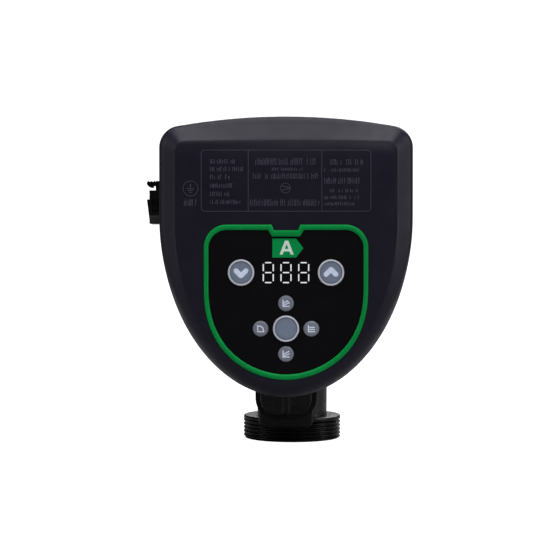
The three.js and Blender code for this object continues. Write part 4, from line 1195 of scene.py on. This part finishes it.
def studio():
    """A pale floor that curves up into a backdrop."""
    z0 = cad_box[0][2] - SHEET["below"]
    far, bend = SHEET["far"], SHEET["bend"]
    path = [(SHEET["near"], z0), (far - bend, z0)]
    path += [(far - bend + bend * math.sin(a), z0 + bend * (1 - math.cos(a)))
             for a in np.linspace(0, HALF_PI, 24)[1:]]
    path.append((far, SHEET["top"]))
    verts = [(side * SHEET["half"], y, z) for y, z in path for side in (-1, 1)]
    faces = [(2 * i, 2 * i + 1, 2 * i + 3, 2 * i + 2) for i in range(len(path) - 1)]
    mesh = bpy.data.meshes.new("backdrop")
    mesh.from_pydata(verts, [], faces)
    floor = added("backdrop", mesh)
    mesh.polygons.foreach_set("use_smooth", [True] * len(faces))
    paper = material("backdrop", SHEET_COLOR, 0.95, depth=0.01, vary=0.01, specular=0.0)
    shader = paper.node_tree.nodes["Principled BSDF"]
    shader.inputs["Emission Color"].default_value = (1, 1, 1, 1)
    for_camera(paper.node_tree, SHEET_GLOW, 0.0, shader.inputs["Emission Strength"])
    floor.data.materials.append(paper)


def for_camera(tree, seen, otherwise, socket):
    """Gives an input one value, and seen on top of it for the camera's own rays."""
    rays = tree.nodes.new("ShaderNodeLightPath")
    strength = tree.nodes.new("ShaderNodeMath")
    strength.operation = "MULTIPLY_ADD"
    set_inputs(strength, {1: seen, 2: otherwise})
    tree.links.new(rays.outputs["Is Camera Ray"], strength.inputs[0])
    tree.links.new(strength.outputs["Value"], socket)


LIGHT_TARGET = (-3, -60, 10)
# The soft boxes: name, place and size in the script's units, and power in watts.
SOFTBOXES = [
    ("top_softbox", (0, -150, 750), (900, 600), 8),
    ("front_softbox", (200, -900, 700), (900, 500), 3),
    ("right_softbox", (850, -200, 250), (400, 800), 3.3),
    ("left_softbox", (-850, -250, 200), (350, 800), 2.0),
    ("back_softbox", (200, 900, 600), (800, 600), 10),
]


def area_light(name, place, size, power):
    """A soft box that looks at the middle of the head, its place given in the script's units."""
    light = bpy.data.lights.new(name, "AREA")
    light.shape = "RECTANGLE"
    light.size, light.size_y = (side * UNIT for side in size)
    light.energy = power
    obj = added(name, light)
    obj.location = placed(*place)
    aim = placed(*LIGHT_TARGET) - obj.location
    obj.rotation_euler = aim.to_track_quat("-Z", "Y").to_euler()


def lights():
    """Soft boxes all round, and a world that looks white but gives little light."""
    for box in SOFTBOXES:
        area_light(*box)
    world = bpy.data.worlds.new("studio")
    world.use_nodes = True
    background = world.node_tree.nodes["Background"]
    background.inputs["Color"].default_value = (1, 1, 1, 1)
    for_camera(world.node_tree, WORLD_SEEN, WORLD_LIGHT, background.inputs["Strength"])
    bpy.context.scene.world = world


CAMERA_PLACE = placed(-3.0, -750, 24.4)
CAMERA_AIM = placed(-5.96, 0.0, 12.54)
CAMERA_LENS = 97.586


def camera():
    """A long lens straight in front, as in the photograph."""
    data = bpy.data.cameras.new("camera")
    data.lens = CAMERA_LENS
    data.sensor_width = 36
    data.clip_start = 0.01
    obj = added("camera", data)
    obj.location = CAMERA_PLACE
    obj.rotation_euler = (CAMERA_AIM - CAMERA_PLACE).to_track_quat("-Z", "Y").to_euler()
    bpy.context.scene.camera = obj
    bpy.context.scene.view_settings.view_transform = "Standard"


studio()
lights()
camera()
